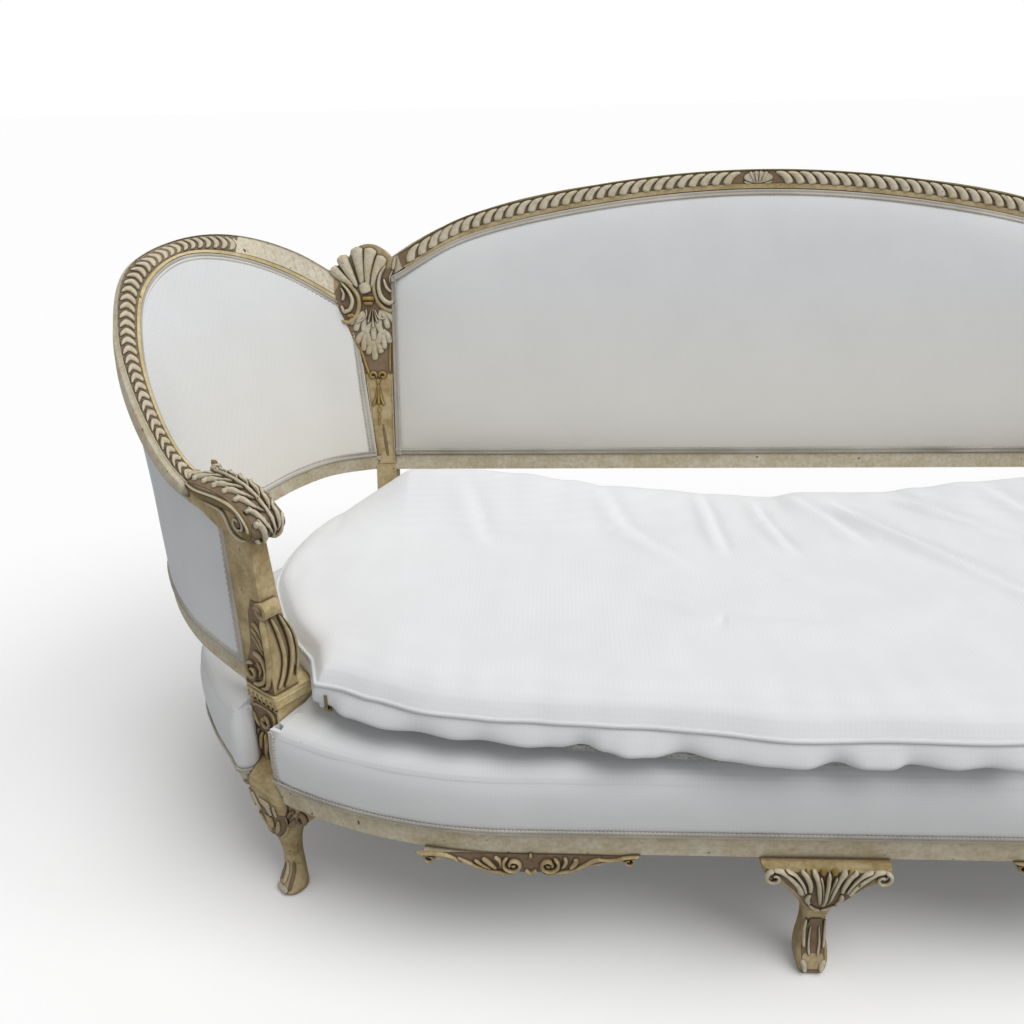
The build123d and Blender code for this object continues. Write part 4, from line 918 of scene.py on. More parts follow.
# Back posts: shell, curls of acanthus, scale leaves, and a husk drop
plate(
    "post_ground_left", back_at, [(-812, 372), (-828, 340), (-818, 303), (-797, 264), (-781, 225), (-770, 186)],
    [(-704, 400), (-701, 350), (-703, 310), (-709, 260), (-711, 220), (-712, 186)], 0.8, dark_paint)
plate(
    "post_field_left", back_at, [(-772, 192), (-764, 126), (-757, 63), (-752, 12)],
    [(-711, 192), (-711, 126), (-711, 63), (-711, 12)], 1.0, aged_paint, 40, 14.0)
shell = [
    ([(-829, 401), (-808, 383), (-784, 364)], (22, 18, 8), 8),
    ([(-809, 425), (-794, 393), (-776, 360)], (26, 20, 7), 9),
    ([(-778, 441), (-771, 401), (-766, 357)], (29, 21, 7), 10),
    ([(-748, 439), (-755, 401), (-758, 356)], (29, 21, 7), 10),
    ([(-725, 423), (-739, 392), (-750, 358)], (26, 20, 7), 9), ([(-765, 372), (-759, 350)], (22, 26, 20), 7)]
carve("post_shell_left", back_at, shell, carved_paint, 12, 16)
curls = [
    ([(-817, 380), (-792, 365), (-776, 341), (-778, 314), (-794, 295), (-815, 298)], (8, 10, 8), 6),
    ([(-718, 408), (-738, 388), (-744, 360), (-737, 334), (-720, 318), (-704, 318)], (8, 10, 8), 6)]
carve("post_curls_left", back_at, curls, aged_paint, 10, 24)
leaves = [
    ([(-814, 377), (-796, 356), (-788, 335), (-795, 318), (-807, 316)], (4, 9, 8), 9),
    ([(-811, 363), (-805, 350), (-808, 336)], (3, 7, 6), 8), ([(-811, 328), (-806, 316), (-798, 314)], (5, 8, 5), 8),
    ([(-718, 406), (-731, 387), (-735, 364), (-730, 342), (-715, 331), (-702, 336)], (4, 10, 9), 9),
    ([(-725, 379), (-719, 361), (-708, 351)], (4, 7, 4), 8), ([(-706, 395), (-712, 380), (-711, 368)], (3, 5, 4), 6),
    ([(-700, 420), (-704, 405), (-706, 394)], (4, 7, 4), 7), ([(-761, 321), (-763, 303), (-784, 292)], (3, 5, 5), 6),
    ([(-751, 321), (-758, 292)], (2, 4, 6), 7), ([(-749, 321), (-748, 282)], (2, 4, 7), 8),
    ([(-747, 321), (-739, 292)], (2, 4, 6), 7), ([(-744, 319), (-737, 303), (-722, 301)], (3, 5, 5), 6)]
carve("post_leaves_left", back_at, leaves, carved_paint, 10, 16)
# Scale leaves: a root, and the three tips that spread from it
SCALES = [
    (-764, 316, [(-796, 290), (-785, 276), (-768, 272)]), (-733, 320, [(-737, 280), (-718, 280), (-704, 292)]),
    (-748, 298, [(-764, 270), (-748, 256), (-732, 272)]), (-762, 280, [(-783, 252), (-770, 236), (-757, 246)]),
    (-730, 282, [(-740, 250), (-727, 240), (-714, 252)]), (-747, 262, [(-761, 230), (-747, 218), (-733, 232)])]
scales = []
for root_x, root, tips in SCALES:
    for tip_x, tip in tips:
        middle = ((root_x + tip_x) / 2 + (tip_x - root_x) * 0.14, (root + tip) / 2)
        scales.append(([(root_x, root), middle, (tip_x, tip)], (5, 14, 11), 4.2))
carve("post_scales_left", back_at, scales, cream_paint)
gilding = [
    ([(-768, 340), (-744, 340)], (9, 10, 9), 8), ([(-766, 331), (-747, 331)], (8, 9, 8), 7),
    ([(-801, 309), (-784, 306)], (7, 10, 6), 5), ([(-740, 352), (-738, 334), (-722, 317), (-703, 314)], (3, 6, 7), 5),
    ([(-789, 268), (-775, 240), (-765, 208), (-757, 186)], (4, 6, 4), 4.0),
    ([(-714, 268), (-716, 231), (-717, 194)], (4, 5, 4), 4.0), (spiral(-752, 189, 8, -40, 1.1), (6, 6, 6), 6),
    (spiral(-732, 189, 8, 220, -1.1), (6, 6, 6), 6), ([(-742, 184), (-742, 172)], (5, 9, 6), 5),
    ([(-742, 174), (-742, 130)], (4, 7, 8), 5.5), ([(-744, 168), (-747, 145), (-754, 129)], (3, 5, 6), 5),
    ([(-740, 168), (-737, 145), (-731, 129)], (3, 5, 6), 5), ([(-742, 126), (-742, 114)], (3, 8, 3), 4),
    ([(-742, 112), (-742, 101)], (3, 7, 3), 4), ([(-742, 99), (-742, 90)], (2, 5, 2), 3.5)]
carve("post_gilding_left", back_at, gilding, gilt_paint, 10, 24)
edges = [
    ([(-766, 186), (-761, 140), (-756, 80), (-751, 12)], (3, 4, 3), 3.0),
    ([(-713, 186), (-713.5, 120), (-713, 60), (-713, 12)], (3, 4, 3), 3.0)]
carve("post_edges_left", back_at, edges, cream_paint, 10, 40)
groove = [([(-736, 96), (-731, 60), (-727, 24)], (4, 9, 6), 1.8)]
carve("post_groove_left", back_at, groove, dark_paint, 10, 16)


# Hands: acanthus over the top, an olive groove along the side that ends in an eye
hand_line = flat([
    (-105, 718), (-76, 721), (-47, 722), (-20, 720), (0, 716), (18, 708), (32, 698), (41, 692), (46, 684), (45, 674),
    (36, 666), (24, 663.5)])
hand_shares = even(lambda s: along(hand_line, s), 100)


def hand_surface(distance, v, height):
    """Over the hand's top from its back end to the underside of its roll, and across it."""
    share = hand_shares[int(max(0, min(100, round(distance / 2.0))))]
    here = along(hand_line, share)
    run = (along(hand_line, min(share + 0.02, 1)) - along(hand_line, max(share - 0.02, 0))).normalized()
    reach = height + 5.0 * (1 - ((v + 12.0) / 28.0) ** 2)
    return block_at(here.x - run.y * reach, v, here.y + run.x * reach)


plate("hand_ground_left", hand_surface, level(8, 188, -40), level(8, 188, 16), 1.0, dark_paint, 60)
acanthus = [([(190, -8), (150, -7), (100, -6), (50, -4), (14, -2)], (5, 7, 4), 7)]
for d in (198, 176, 152, 128, 104, 80, 56, 34):
    acanthus += [([(d, -9), (d - 14, -20), (d - 34, -26), (d - 40, -37)], (3, 8, 8), 7.5),
                 ([(d - 6, -12), (d - 26, -22), (d - 44, -28)], (2, 5, 6), 6),
                 ([(d, -4), (d - 16, 4), (d - 32, 6), (d - 40, 14)], (3, 8, 7), 7.5),
                 ([(d - 6, -2), (d - 24, 4), (d - 40, 8)], (2, 5, 5), 6)]
acanthus = [([(max(4, a), b) for a, b in points], widths, height) for points, widths, height in acanthus]
acanthus += [
    ([(200, -10), (192, -22), (180, -33)], (3, 8, 6), 7), ([(200, -4), (194, 6), (184, 13)], (3, 7, 5), 7),
    ([(4, 6), (16, 14)], (9, 12, 8), 11), ([(2, -18), (14, -22)], (6, 9, 6), 8)]
carve("hand_leaf_left", hand_surface, acanthus, carved_paint, 10, 16)


def block_face(depth):
    """Upright surface in front of the turned block, at a depth before its middle."""
    return lambda u, z, height: block_at(u, -depth - height, z)


outer_face = block_face(40.0)
band = [(-104, 712), (-77, 705), (-40, 706), (0, 708), (20, 704), (34, 696), (40, 684), (34, 672), (22, 668)]
carve("hand_groove_left", outer_face, [(band, (8, 17, 10), 2.5)], olive_paint, 10, 40)
edge = [
    ([(-104, 718), (-77, 713), (-26, 715), (8, 712), (28, 703), (40, 690), (43, 678)], (3, 4, 5), 5),
    ([(-70, 700), (-25, 698), (-12, 691), (-5, 676), (4, 667), (20, 663), (34, 666)], (4, 5, 4), 5),
    (spiral(18, 688, 15, 100, -1.2), (5, 5, 5), 5)]
carve("hand_edges_left", outer_face, edge, cream_paint, 10, 30)
carve("hand_eye_left", outer_face, [([(18, 696), (18, 681)], (10, 14, 10), 3.4)], dark_paint)
carve("hand_ball_left", lambda a, b, h: hand_surface(a, b, h + 9.0), [([(1, 9), (9, 11)], (7, 9, 7), 7)], gilt_paint)


# Arm posts, blocks and legs below them: faces of the turned corner
corner_front = block_face(34.0)


def corner_side(v, z, height):
    return block_at(33.0 + height, v, z)


post_side = [
    ([(-24, 538), (-14, 502), (-9, 460), (-16, 429), (-28, 408)], (4, 7, 5), 4.5),
    ([(-10, 536), (1, 502), (5, 464), (-3, 428), (-16, 406)], (4, 8, 5), 5.5),
    ([(-4, 530), (12, 490), (14, 450), (6, 416)], (3, 6, 4), 4.5)]
carve("arm_post_strips_left", corner_side, post_side, aged_paint, 10, 20)
post_front = [
    ([(30, 540), (31, 500), (31, 455), (22, 415), (6, 406)], (5, 8, 7), 7),
    ([(2, 512), (16, 498), (28, 478)], (9, 9, 5), 6), ([(0, 498), (12, 486), (24, 470)], (6, 7, 4), 5),
    ([(6, 522), (20, 512), (29, 498)], (6, 7, 4), 6),
    ([(-6, 468), (14, 464), (24, 446), (18, 424), (0, 410), (-14, 410)], (5, 9, 6), 8),
    ([(4, 452), (10, 440), (4, 424)], (4, 6, 4), 6), (spiral(-14, 428, 17, 60, 1.2), (6, 6, 5), 8),
    ([(12, 548), (24, 552), (33, 548)], (4, 7, 6), 5)]
carve("arm_post_scroll_left", corner_front, post_front, aged_paint, 10, 20)
plate(
    "arm_post_ground_left", corner_front, [(-30, 404), (-26, 440), (-10, 480), (-4, 530), (8, 560)],
    [(31, 404), (31, 440), (31, 480), (31, 530), (30, 560)], 0.8, dark_paint, 16)
carve("arm_post_eye_left", block_face(36.5), [([(24, 548), (35, 548)], (12, 15, 12), 2.0)], dark_paint)
block_front = [([(-37, 394), (0, 394), (37, 394)], (5, 5, 5), 7.0)]
block_front += [([(u, 387), (u, 376)], (6, 8, 5), 6.0) for u in (-32, -21, -10, 1, 12, 23, 33)]
block_front += [
    ([(-34, 372), (0, 371), (34, 372)], (3, 3, 3), 3.5),
    ([(-31, 360), (-8, 366), (18, 364), (24, 346), (14, 326), (-6, 316)], (5, 6, 5), 5),
    ([(-32, 346), (-27, 332), (-18, 322)], (5, 7, 5), 5), (spiral(-2, 338, 13, 100, -1.2), (6, 6, 6), 7),
    ([(-24, 316), (-32, 296), (-28, 280)], (6, 10, 5), 5), ([(-12, 314), (-22, 296), (-26, 272)], (5, 9, 4), 6),
    ([(-6, 314), (-8, 294), (-14, 266)], (5, 9, 4), 6), ([(4, 318), (10, 302), (6, 284)], (5, 8, 4), 5),
    ([(-16, 274), (-14, 262), (-10, 254)], (4, 6, 3), 4)]
carve("block_carving_left", corner_front, block_front, aged_paint, 10, 16)
plate(
    "block_ground_left", corner_front, [(-30, 256), (-31, 300), (-31, 366)], [(0, 256), (18, 310), (29, 366)], 0.7,
    dark_paint, 12)
block_side_strokes = [
    ([(-37, 394), (-10, 394), (33, 394)], (5, 5, 5), 6.0), ([(-34, 382), (-10, 380), (33, 380)], (4, 5, 4), 3.5)]
carve("block_mould_left", corner_side, block_side_strokes, block_paint, 10, 20)

# Corner leg's rows: height, middle across, half width, front, back, squareness
CORNER_LEG = [
    (0, 6, 20, -58, -14, 0.9), (6, 6, 23, -62, -11, 0.9), (22, 5, 21, -55, -10, 1.0), (42, 3, 17, -44, -9, 1.0),
    (70, 0, 16, -41, -8, 1.0), (96, 0, 19, -44, -6, 1.0), (120, 0, 26, -51, -3, 0.9), (145, 0, 34, -58, 2, 0.8),
    (168, 0, 42, -62, 10, 0.7), (190, 0, 47, -64, 24, 0.5), (212, 0, 47, -65, 33, 0.35), (228, 0, 43, -65, 34, 0.3),
    (240, 0, 38, -63, 34, 0.3), (251, 0, 36, -53, 34, 0.3), (261, 0, 34.8, -36, 34, 0.3)]


def table(rows, key):
    """Values of a table's rows at a key, by straight lines between rows."""
    for low_row, high_row in zip(rows, rows[1:]):
        if key <= high_row[0] or high_row is rows[-1]:
            t = max(0.0, min(1.0, (key - low_row[0]) / (high_row[0] - low_row[0])))
            return [a + (b - a) * t for a, b in zip(low_row[1:], high_row[1:])]


def leg_point(row, angle):
    _, middle, half, front, back, square = row
    c, d = math.cos(angle), math.sin(angle)
    across = middle + half * math.copysign(abs(c) ** square, c)
    into = (front + back) / 2 + (back - front) / 2 * math.copysign(abs(d) ** square, d)
    return across, into


leg_low = [Vector(row[:3]) for row in CORNER_LEG]
leg_high = [Vector(row[3:]) for row in CORNER_LEG]
leg_rows = [(*along(leg_low, share), *along(leg_high, share)) for share in shares(84)]


def leg_section(share):
    row = leg_rows[round(share * 84)]
    return [block_at(*leg_point(row, 2 * math.pi * k / 32), row[0]) for k in range(32)]


corner_leg = ring_sweep("corner_leg_left", shares(84), leg_section)
both(corner_leg, aged_paint, ["front_corner_leg"])


def leg_front(u, z, height):
    row = (z, *table(leg_rows, z))
    turn = -math.pi / 2 + max(-1.4, min(1.4, (u - row[1]) / row[2] * 1.15))
    across, into = leg_point(row, turn)
    out = Vector((math.cos(turn), math.sin(turn), 0)) * height
    return block_at(across + out.x, into + out.y, z)


# Small ears that carry the leg under both rails
EAR = flat([(30, 213), (32, 192), (26, 160)]), flat([(92, 213), (86, 192), (40, 164)])


def ear_section(share):
    """Solid board between two lines of a corner's front plane, with a rounded front."""
    a, b = (along(line, share) for line in EAR)
    places = (a, -24), (a, -46), (a.lerp(b, 0.2), -50), (a.lerp(b, 0.8), -50), (b, -46), (b, -24)
    return [block_at(place.x, depth, place.y) for place, depth in places]


both(ring_sweep("corner_leg_ear_left", shares(16), ear_section), aged_paint)
ears = [
    (spiral(78, 199, 12, 100, -1.1), (8, 7, 7), 7), ([(66, 190), (54, 176), (38, 160)], (8, 9, 5), 5),
    ([(64, 206), (52, 196), (44, 182)], (5, 7, 5), 5)]
carve("corner_leg_ear_scroll_left", block_face(50.0), ears, dark_paint, 10, 22)
carve(
    "corner_leg_ear_curl_left", block_face(54.0), [(spiral(-48, 213, 9, 60, 1.1), (7, 7, 7), 8)], cream_paint, 10, 22)
plate(
    "corner_leg_ground_left", leg_front, [(-3, 118), (-18, 140), (-30, 162), (-30, 186)],
    [(4, 118), (24, 140), (36, 162), (38, 186)], 0.6, dark_paint, 16)
leg_strokes = [
    ([(-26, 206), (-27, 190), (-25, 178)], (4, 6, 4), 3.5), ([(-17, 208), (-17, 190), (-15, 176)], (4, 6, 4), 4),
    ([(-8, 208), (-7, 190), (-4, 176)], (4, 6, 4), 4), ([(1, 207), (3, 190), (7, 178)], (4, 6, 4), 4),
    ([(10, 205), (13, 191), (17, 181)], (4, 6, 4), 3.5)]
carve("corner_leg_leaf_left", leg_front, leg_strokes, cream_paint)
leg_gold = [
    ([(-32, 182), (-30, 158), (-20, 136), (-4, 116)], (4, 7, 4), 5),
    ([(36, 186), (35, 160), (24, 138), (6, 117)], (4, 6, 4), 4), ([(-14, 168), (-6, 148), (0, 128)], (4, 8, 3), 4),
    ([(20, 172), (14, 150), (6, 130)], (4, 8, 3), 4), ([(4, 176), (4, 160), (4, 146)], (8, 12, 6), 5)]
carve("corner_leg_gilding_left", leg_front, leg_gold, aged_paint, 10, 18)
grooves = [
    ([(-11, 58), (-13, 34), (-14, 10)], (3, 6, 5), 1.4), ([(13, 60), (16, 34), (18, 10)], (3, 6, 5), 1.4),
    ([(-1, 52), (-2, 34), (-2, 22)], (2, 4, 4), 1.2)]
carve("corner_leg_groove_left", leg_front, grooves, dark_paint)
toe = [
    ([(-8, 10), (4, 13), (16, 9)], (7, 10, 7), 3.5), ([(5, 58), (6, 36), (7, 20)], (3, 6, 5), 2.5),
    ([(-17, 50), (-20, 30), (-20, 12)], (3, 5, 5), 2.5)]
carve("corner_leg_toe_left", leg_front, toe, cream_paint)

CENTRE_LEG = [
    (0.0, 0.2, 0.7), (0.05, 0.24, 0.85), (0.22, 0.24, 0.4), (0.36, 0.19, 0.1), (0.5, 0.21, 0.15), (0.64, 0.34, 0.55),
    (0.76, 0.52, 0.9), (0.9, 0.88, 1.0), (1.0, 1.0, 1.0)]


def centre_front(x, z, height):
    _, reach = table(CENTRE_LEG, z / 214.0)
    return at(x, -26.0 * reach - height, z)


centre_strokes = [
    (spiral(-76, 203, 13, 80, 1.15), (7, 6, 6), 6),
    ([(-80, 216), (-66, 214), (-50, 200), (-38, 184), (-33, 168)], (6, 9, 11), 6),
    ([(-62, 218), (-46, 208), (-34, 190), (-28, 172)], (4, 6, 5), 6),
    ([(-40, 218), (-30, 206), (-24, 190), (-22, 172)], (7, 10, 5), 6),
    ([(-24, 220), (-14, 198), (-8, 168), (-3, 140)], (8, 8, 3), 8),
    ([(-12, 208), (-5, 180), (-1, 142)], (5, 6, 3), 7), ([(-22, 172), (-24, 158), (-18, 142)], (5, 8, 4), 5),
    ([(-19, 142), (-10, 130), (0, 125)], (4, 7, 5), 5), ([(-14, 98), (-15, 72), (-14, 46)], (3, 5, 5), 4),
    ([(-6, 86), (-8, 56), (-6, 34)], (2, 4, 4), 4), ([(-17, 28), (-13, 20), (-12, 9)], (6, 9, 6), 5)]
carve(
    "centre_leg_leaf", centre_front, flipped(centre_strokes) + [([(0, 216), (0, 180), (0, 138)], (5, 8, 4), 9)],
    carved_paint, 10, 16)
gold_fields = flipped([([(-8, 222), (-8, 208)], (8, 11, 7), 3), ([(-32, 222), (-27, 208), (-24, 196)], (6, 9, 5), 3)])
carve("centre_leg_gilding", centre_front, gold_fields, gilt_paint)
plate(
    "centre_leg_ground", centre_front, [(-10, 120), (-24, 140), (-38, 168), (-62, 196), (-66, 212)],
    [(10, 120), (24, 140), (38, 168), (62, 196), (66, 212)], 0.8, dark_paint, 24)
plate(
    "centre_leg_toe", centre_front, [(-14, 2), (-17, 20), (-16, 60), (-8, 98)],
    [(14, 2), (17, 20), (16, 60), (8, 98)], 0.7, dark_paint, 16)


# Apron ornaments under the front rail
def apron_surface(x, z, height):
    return at(x, -1.0 - height, z)


apron = [
    ([(-590, 214), (-573, 213), (-556, 212), (-538, 208), (-521, 198)], (3, 6, 5), 6),
    (spiral(-569, 205, 9, 80, 1.1), (5, 5, 4), 6),
    ([(-530, 208), (-512, 197), (-493, 187), (-467, 179), (-442, 178)], (5, 8, 6), 6),
    ([(-492, 208), (-482, 198), (-470, 186)], (6, 9, 5), 7), ([(-504, 204), (-492, 194), (-478, 186)], (5, 7, 4), 6),
    ([(-474, 211), (-466, 202), (-464, 190)], (5, 7, 4), 7), (spiral(-447, 195, 16, 110, 1.3), (7, 7, 7), 8),
    ([(-447, 197), (-446, 192)], (9, 11, 9), 7), (spiral(-395, 195, 16, 70, -1.3), (7, 7, 7), 8),
    ([(-395, 197), (-396, 192)], (9, 11, 9), 7), ([(-372, 211), (-370, 201), (-377, 189)], (5, 7, 4), 7),
    ([(-356, 209), (-356, 200), (-365, 188)], (6, 9, 5), 7),
    ([(-330, 206), (-348, 192), (-370, 182), (-405, 178)], (5, 8, 6), 6),
    ([(-318, 208), (-330, 204), (-342, 196)], (5, 8, 5), 6),
    ([(-328, 208), (-304, 206), (-284, 211), (-262, 214)], (4, 5, 3), 6),
    (spiral(-279, 204, 8, 80, -1.1), (4, 4, 4), 6), ([(-423, 212), (-419, 212)], (7, 8, 7), 6),
    ([(-430, 186), (-421, 178), (-412, 186)], (5, 8, 5), 6)]
carve("apron_carving", apron_surface, flipped(apron), aged_paint, 10, 22)
plate(
    "apron_ground_left", apron_surface, [(-560, 212), (-505, 213), (-421, 213.5), (-340, 213), (-286, 212)],
    [(-556, 207), (-500, 190), (-421, 179), (-345, 192), (-290, 207)], 1.2, dark_paint, 40)


# Loose cushion
CUSHION_HALF, CUSHION_MIDDLE, CUSHION_BACK = 883.0, 345.0, 703.0
FRONT_CORNER, BACK_CORNER = 742.0, 700.0
SEAM_HEIGHT, RIM_LIMIT = 430.0, 455.0


def front_arc(x):
    """Place of the cushion's bowed front behind the front rail's face."""
    return CUSHION_RADIUS - CUSHION_REACH - math.sqrt(CUSHION_RADIUS ** 2 - x * x)


def cushion_outline():
    """Outline of the cushion at its widest, anticlockwise from the front middle."""
    right = flat((x, front_arc(x)) for x in shares(24, 0.0, FRONT_CORNER)[1:])
    flank = [(x * CUSHION_HALF, y * SEAT_DEPTH) for x, y in CUSHION_SIDE]
    flank = flat([right[-1].xy, *flank, (BACK_CORNER, CUSHION_BACK)])
    right += [along(flank, share) for share in shares(48)[1:]]
    back_line = flat((x, CUSHION_BACK) for x in shares(40, BACK_CORNER, -2 * BACK_CORNER)[1:-1])
    return flat([(0, -CUSHION_REACH)]) + right + back_line + flat((-p.x, p.y) for p in reversed(right))


cushion_loop = cushion_outline()
# Heights that the cushion's far edge reaches across the back, and up its flank
FAR_EDGE = [
    (-700, 538), (-548, 535), (-452, 526), (-359, 509), (-290, 494), (-183, 485), (-100, 474), (34, 463), (84, 476),
    (241, 475), (310, 488), (400, 503), (519, 513), (700, 534)]
FLANK_EDGE = [(700, 536), (718, 500), (740, 464), (768, 440), (800, 432), (883, 430)]
# How far the piping, and the wavy lower edge of the boxing, stand out in front of the arc
PIPING_OUT = [
    (-742, -6), (-707, -5), (-646, 4), (-562, 14), (-482, 8), (-404, -2), (-328, -8), (-252, -13), (-190, -11),
    (-61, 1), (46, -3), (229, 9), (330, -6), (460, 6), (600, 14), (742, -4)]
BOXING_OUT = [
    (-742, -4), (-720, 2), (-671, 22), (-609, 31), (-563, 22), (-514, 27), (-475, 17), (-421, 21), (-378, 11),
    (-347, -2), (-313, 11), (-281, 20), (-254, 15), (-212, -3), (-157, 11), (-97, 19), (-56, 22), (-10, 4), (24, 20),
    (55, 21), (84, 9), (141, 23), (178, 19), (222, 30), (262, 4), (300, 20), (352, 16), (380, -1), (431, 21),
    (480, 12), (530, 26), (590, 18), (640, 27), (700, 16), (742, -2)]
# Folds of the top: a line from the back forwards, its depth and its width
FOLDS = [
    ([(141, 641), (232, 515), (348, 370)], 8.0, 20.0), ([(-101, 688), (-91, 555), (-82, 438)], 4.5, 16.0),
    ([(-1, 650), (10, 560), (38, 438)], 4.0, 15.0), ([(-298, 689), (-250, 540), (-150, 400)], 2.6, 22.0),
    ([(250, 660), (330, 590), (430, 500)], 5.0, 14.0), ([(60, 680), (120, 590), (170, 470)], 3.5, 18.0),
    ([(420, 670), (500, 560), (610, 470)], 4.0, 18.0), ([(-560, 660), (-520, 560), (-500, 470)], 2.0, 26.0),
    ([(300, 420), (380, 300), (430, 170)], 2.5, 20.0), ([(-250, 330), (-120, 250), (60, 210)], 1.8, 24.0)]
FOLD_DEPTH = 2.2


def smooth_table(rows, key):
    """Value of a two-column table at a key, eased between its rows."""
    for (x0, y0), (x1, y1) in zip(rows, rows[1:]):
        if key <= x1 or x1 == rows[-1][0]:
            t = max(0.0, min(1.0, (key - x0) / (x1 - x0)))
            return y0 + (y1 - y0) * t * t * (3 - 2 * t)


def fold_height(x, y):
    """Height that the folds add to the cushion's top: a groove along each line and a roll beside it."""
    total = 0.0
    for points, depth, width in FOLDS:
        for (x0, y0), (x1, y1), first in zip(points, points[1:], (True, False)):
            run = math.hypot(x1 - x0, y1 - y0)
            t = ((x - x0) * (x1 - x0) + (y - y0) * (y1 - y0)) / run ** 2
            if (t >= 1.0 and first) or (t < 0.0 and not first):
                continue
            beside = ((x - x0) * (y1 - y0) - (y - y0) * (x1 - x0)) / run
            fade = math.exp(-(((t if first else t + 1) / 2 - 0.5) / 0.42) ** 4)
            roll = math.exp(-((beside - width) / width) ** 2) * 0.8
            total += depth * fade * (roll - math.exp(-(beside / (0.7 * width)) ** 2))
            break
    return total


def cushion_column(x, y):
    """Profile of the cushion at one place of its outline: rows of an offset outwards and a height, the height of
    its rim, and the seam's offset."""
    front = max(0.0, min(1.0, (FRONT_CORNER - abs(x)) / 24.0)) if y < 112.0 else 0.0
    far = smooth_table(FAR_EDGE, x) if abs(x) <= BACK_CORNER else smooth_table(FLANK_EDGE, abs(x))
    rim = min(SEAM_HEIGHT + (far - SEAM_HEIGHT) * max(0.0, min(1.0, (y - 560.0) / 60.0)), RIM_LIMIT)
    lip = smooth_table(BOXING_OUT, x) * front + 1.5 * (1 - front)
    seam = smooth_table(PIPING_OUT, x) * front - 3.0 * (1 - front)
    low = rim - SEAM_HEIGHT
    under = lip - 7 if front >= 0.5 else min(lip - 7, 0)
    rows = [
        (-60, 386.0), (-10, 386.2), (-7, 388.5), (-6.2, 393.0), (-6.2, 398.9), (under, 399.6 + low * 0.4),
        (lip - 2, 400.8 + low * 0.45), (lip, 403.5 + low * 0.5), (lip * 0.85 + seam * 0.15 + 1.5, 408.0 + low * 0.6),
        (lip * 0.55 + seam * 0.45 + 2.5, 414.0 + low * 0.8), (lip * 0.25 + seam * 0.75 + 2.0, 421.0 + low * 0.9),
        (seam, 426.5 + low), (seam - 3.0, 430.0 + low), (seam - 5.0, 433.5 + low)]
    return rows, rim, seam


COLUMNS = 900
cushion_columns = []
for share in shares(COLUMNS)[:-1]:
    place = share * len(cushion_loop)
    a, b = cushion_loop[int(place)], cushion_loop[(int(place) + 1) % len(cushion_loop)]
    here = a.lerp(b, place - int(place))
    cushion_columns.append((here, *cushion_column(here.x, here.y)))
TOP_SHARES = [0.03, 0.045, 0.065, 0.09] + [0.115 + 0.02 * k for k in range(44)]
cushion_rows = 13 + len(TOP_SHARES)


def outwards(here, offset):
    """Place of the outline moved outwards from the cushion's middle."""
    reach = CUSHION_BACK - CUSHION_MIDDLE
    return here.x * (1 + offset / CUSHION_HALF), CUSHION_MIDDLE + (here.y - CUSHION_MIDDLE) * (1 + offset / reach)


def cushion_place(u, v):
    here, rows, rim, seam = cushion_columns[round(u * COLUMNS) % COLUMNS]
    rank = round(v * cushion_rows)
    if rank < len(rows):
        offset, height = rows[rank]
        return at(*outwards(here, offset), height)
    share = TOP_SHARES[min(rank - len(rows), len(TOP_SHARES) - 1)]
    x, y = to_core(*outwards(here, seam - 5.0), CUSHION_MIDDLE, share)
    inwards = share * 340.0
    flank = CUSHION_HALF - abs(x) - 60.0 * abs(y - 450.0) / 350.0
    back_lift = smooth_table(FAR_EDGE, max(-BACK_CORNER, min(BACK_CORNER, x))) - 462.0
    back_lift *= max(0.0, min(1.0, (800.0 - abs(x)) / 130.0))
    top = 474.0 + back_lift * math.exp(-(max(CUSHION_BACK - y, 0.0) / 120.0) ** 2)
    top -= 20.0 * (math.exp(-max(y - front_arc(x), 0.0) / 60.0) + math.exp(-max(flank, 0.0) / 60.0))
    height = rim + 3.5 + (top - rim - 3.5) * (1 - math.exp(-inwards / 9.0))
    wave = noise.noise(Vector((x * 0.006, y * 0.009, 3.0))) * 4.0
    wave += noise.noise(Vector((x * 0.02, y * 0.012, 8.0))) * 1.4
    ripple = math.sin(x * 0.085 + 2.0 * math.sin(x * 0.013)) * 1.6 * math.exp(-inwards / 45.0) if y < 200 else 0.0
    return at(x, y, height + (wave + FOLD_DEPTH * fold_height(x, y) + ripple) * min(1.0, inwards / 40.0))


cushion = shaped_grid("cushion", COLUMNS, cushion_rows, cushion_place, 75)
edit(cushion)
bpy.ops.mesh.select_mode(type='FACE')
bpy.ops.mesh.select_all(action='DESELECT')
bpy.ops.mesh.select_face_by_sides(number=4, type='GREATER')
bpy.ops.mesh.quads_convert_to_tris(ngon_method='BEAUTY')
bpy.ops.object.mode_set(mode='OBJECT')
wear(cushion, cushion_cotton, "seat_cushion")
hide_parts("cushion_cover", "cushion_filling")


def piping_centre(share):
    here, _, rim, seam = cushion_columns[round(share * COLUMNS) % COLUMNS]
    return at(*outwards(here, seam - 1.2), rim + 1.0)


def piping_section(share):
    here = piping_centre(share)
    run = (piping_centre(share + 1 / COLUMNS) - piping_centre(share - 1 / COLUMNS)).normalized()
    out, up = Vector((run.y, -run.x, 0)), Vector((0, 0, 1))
    angles = [2 * math.pi * k / 8 for k in range(8)]
    return [here + (out * math.cos(angle) + up * math.sin(angle)) * 3.1 * MM for angle in angles]


piping = ring_sweep("cushion_piping_top", shares(COLUMNS), piping_section, 80)
wear(piping, piping_cotton, "seat_cushion")
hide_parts("cushion_piping")


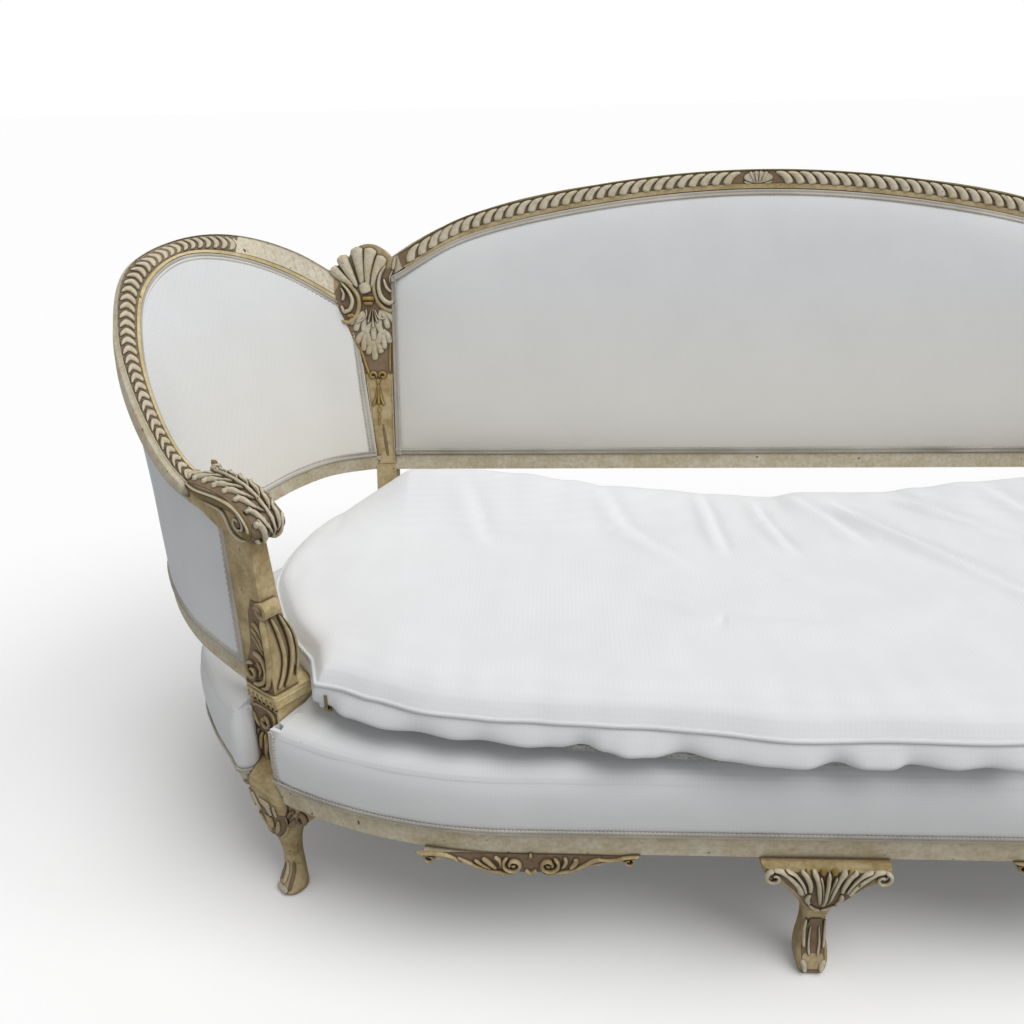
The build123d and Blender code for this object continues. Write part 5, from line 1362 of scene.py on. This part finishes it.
# Stage: pale floor, white surround, soft lamp and the camera
WHITE = (1.0, 1.0, 1.0, 1.0)
bpy.ops.mesh.primitive_plane_add(size=60.0, location=(0, 0, -0.0005))
floor = bpy.context.object
floor.name = "floor"
ground, tree, shader = new_material("white studio floor")
seen = node(tree, "LightPath").outputs["Is Camera Ray"]
fill(shader, {
    "Base Color": mixed(tree, seen, srgb("c6c6c6"), srgb("fafafa")), "Roughness": 1.0, "Specular IOR Level": 0.0,
    "Emission Color": WHITE, "Emission Strength": maths(tree, "MULTIPLY", seen, 0.09)})
floor.data.materials.append(ground)

world = bpy.data.worlds.new("white surround")
bpy.context.scene.world = world
world.use_nodes = True
tree = world.node_tree
dim = fill(tree.nodes["Background"], {"Color": WHITE, "Strength": 0.37})
bright = node(tree, "Background", {"Color": WHITE, "Strength": 1.0})
rays = node(tree, "LightPath").outputs
either = maths(tree, "MAXIMUM", rays["Is Camera Ray"], rays["Is Glossy Ray"])
surround = node(tree, "MixShader", {0: either, 1: dim.outputs[0], 2: bright.outputs[0]})
fill(tree.nodes["World Output"], {"Surface": surround.outputs[0]})

# One broad overhead light from the right, as in the photograph: flat tops bright, fronts in half tone
sun = bpy.data.lights.new("overhead softbox", 'SUN')
sun.energy = 2.0
sun.angle = math.radians(50)
sun_object = bpy.data.objects.new("overhead softbox", sun)
bpy.context.scene.collection.objects.link(sun_object)
sun_object.rotation_euler = Vector((0.42, -0.18, 0.886)).to_track_quat('Z', 'Y').to_euler()

CAMERA = Vector((-0.379967936, -1.03387 - CENTRE_Y * MM, 1.2537184))
PITCH, YAW, ROLL, FOCAL = 0.442796985, 0.0543274106, -0.0240592732, 949.98672
right = Vector((math.cos(YAW), math.sin(YAW), 0))
forward = Vector((-math.sin(YAW) * math.cos(PITCH), math.cos(YAW) * math.cos(PITCH), -math.sin(PITCH)))
upward = right.cross(forward)
turned_right = right * math.cos(ROLL) + upward * math.sin(ROLL)
turned_up = upward * math.cos(ROLL) - right * math.sin(ROLL)
data = bpy.data.cameras.new("camera")
data.sensor_width = 36.0
data.lens = FOCAL / 1024 * 36.0
data.clip_end = 50.0
camera = bpy.data.objects.new("camera", data)
bpy.context.scene.collection.objects.link(camera)
turn = Matrix((turned_right, turned_up, -forward)).transposed().to_4x4()
camera.matrix_world = Matrix.Translation(CAMERA) @ turn
bpy.context.scene.camera = camera
bpy.context.scene.view_settings.view_transform = 'Standard'
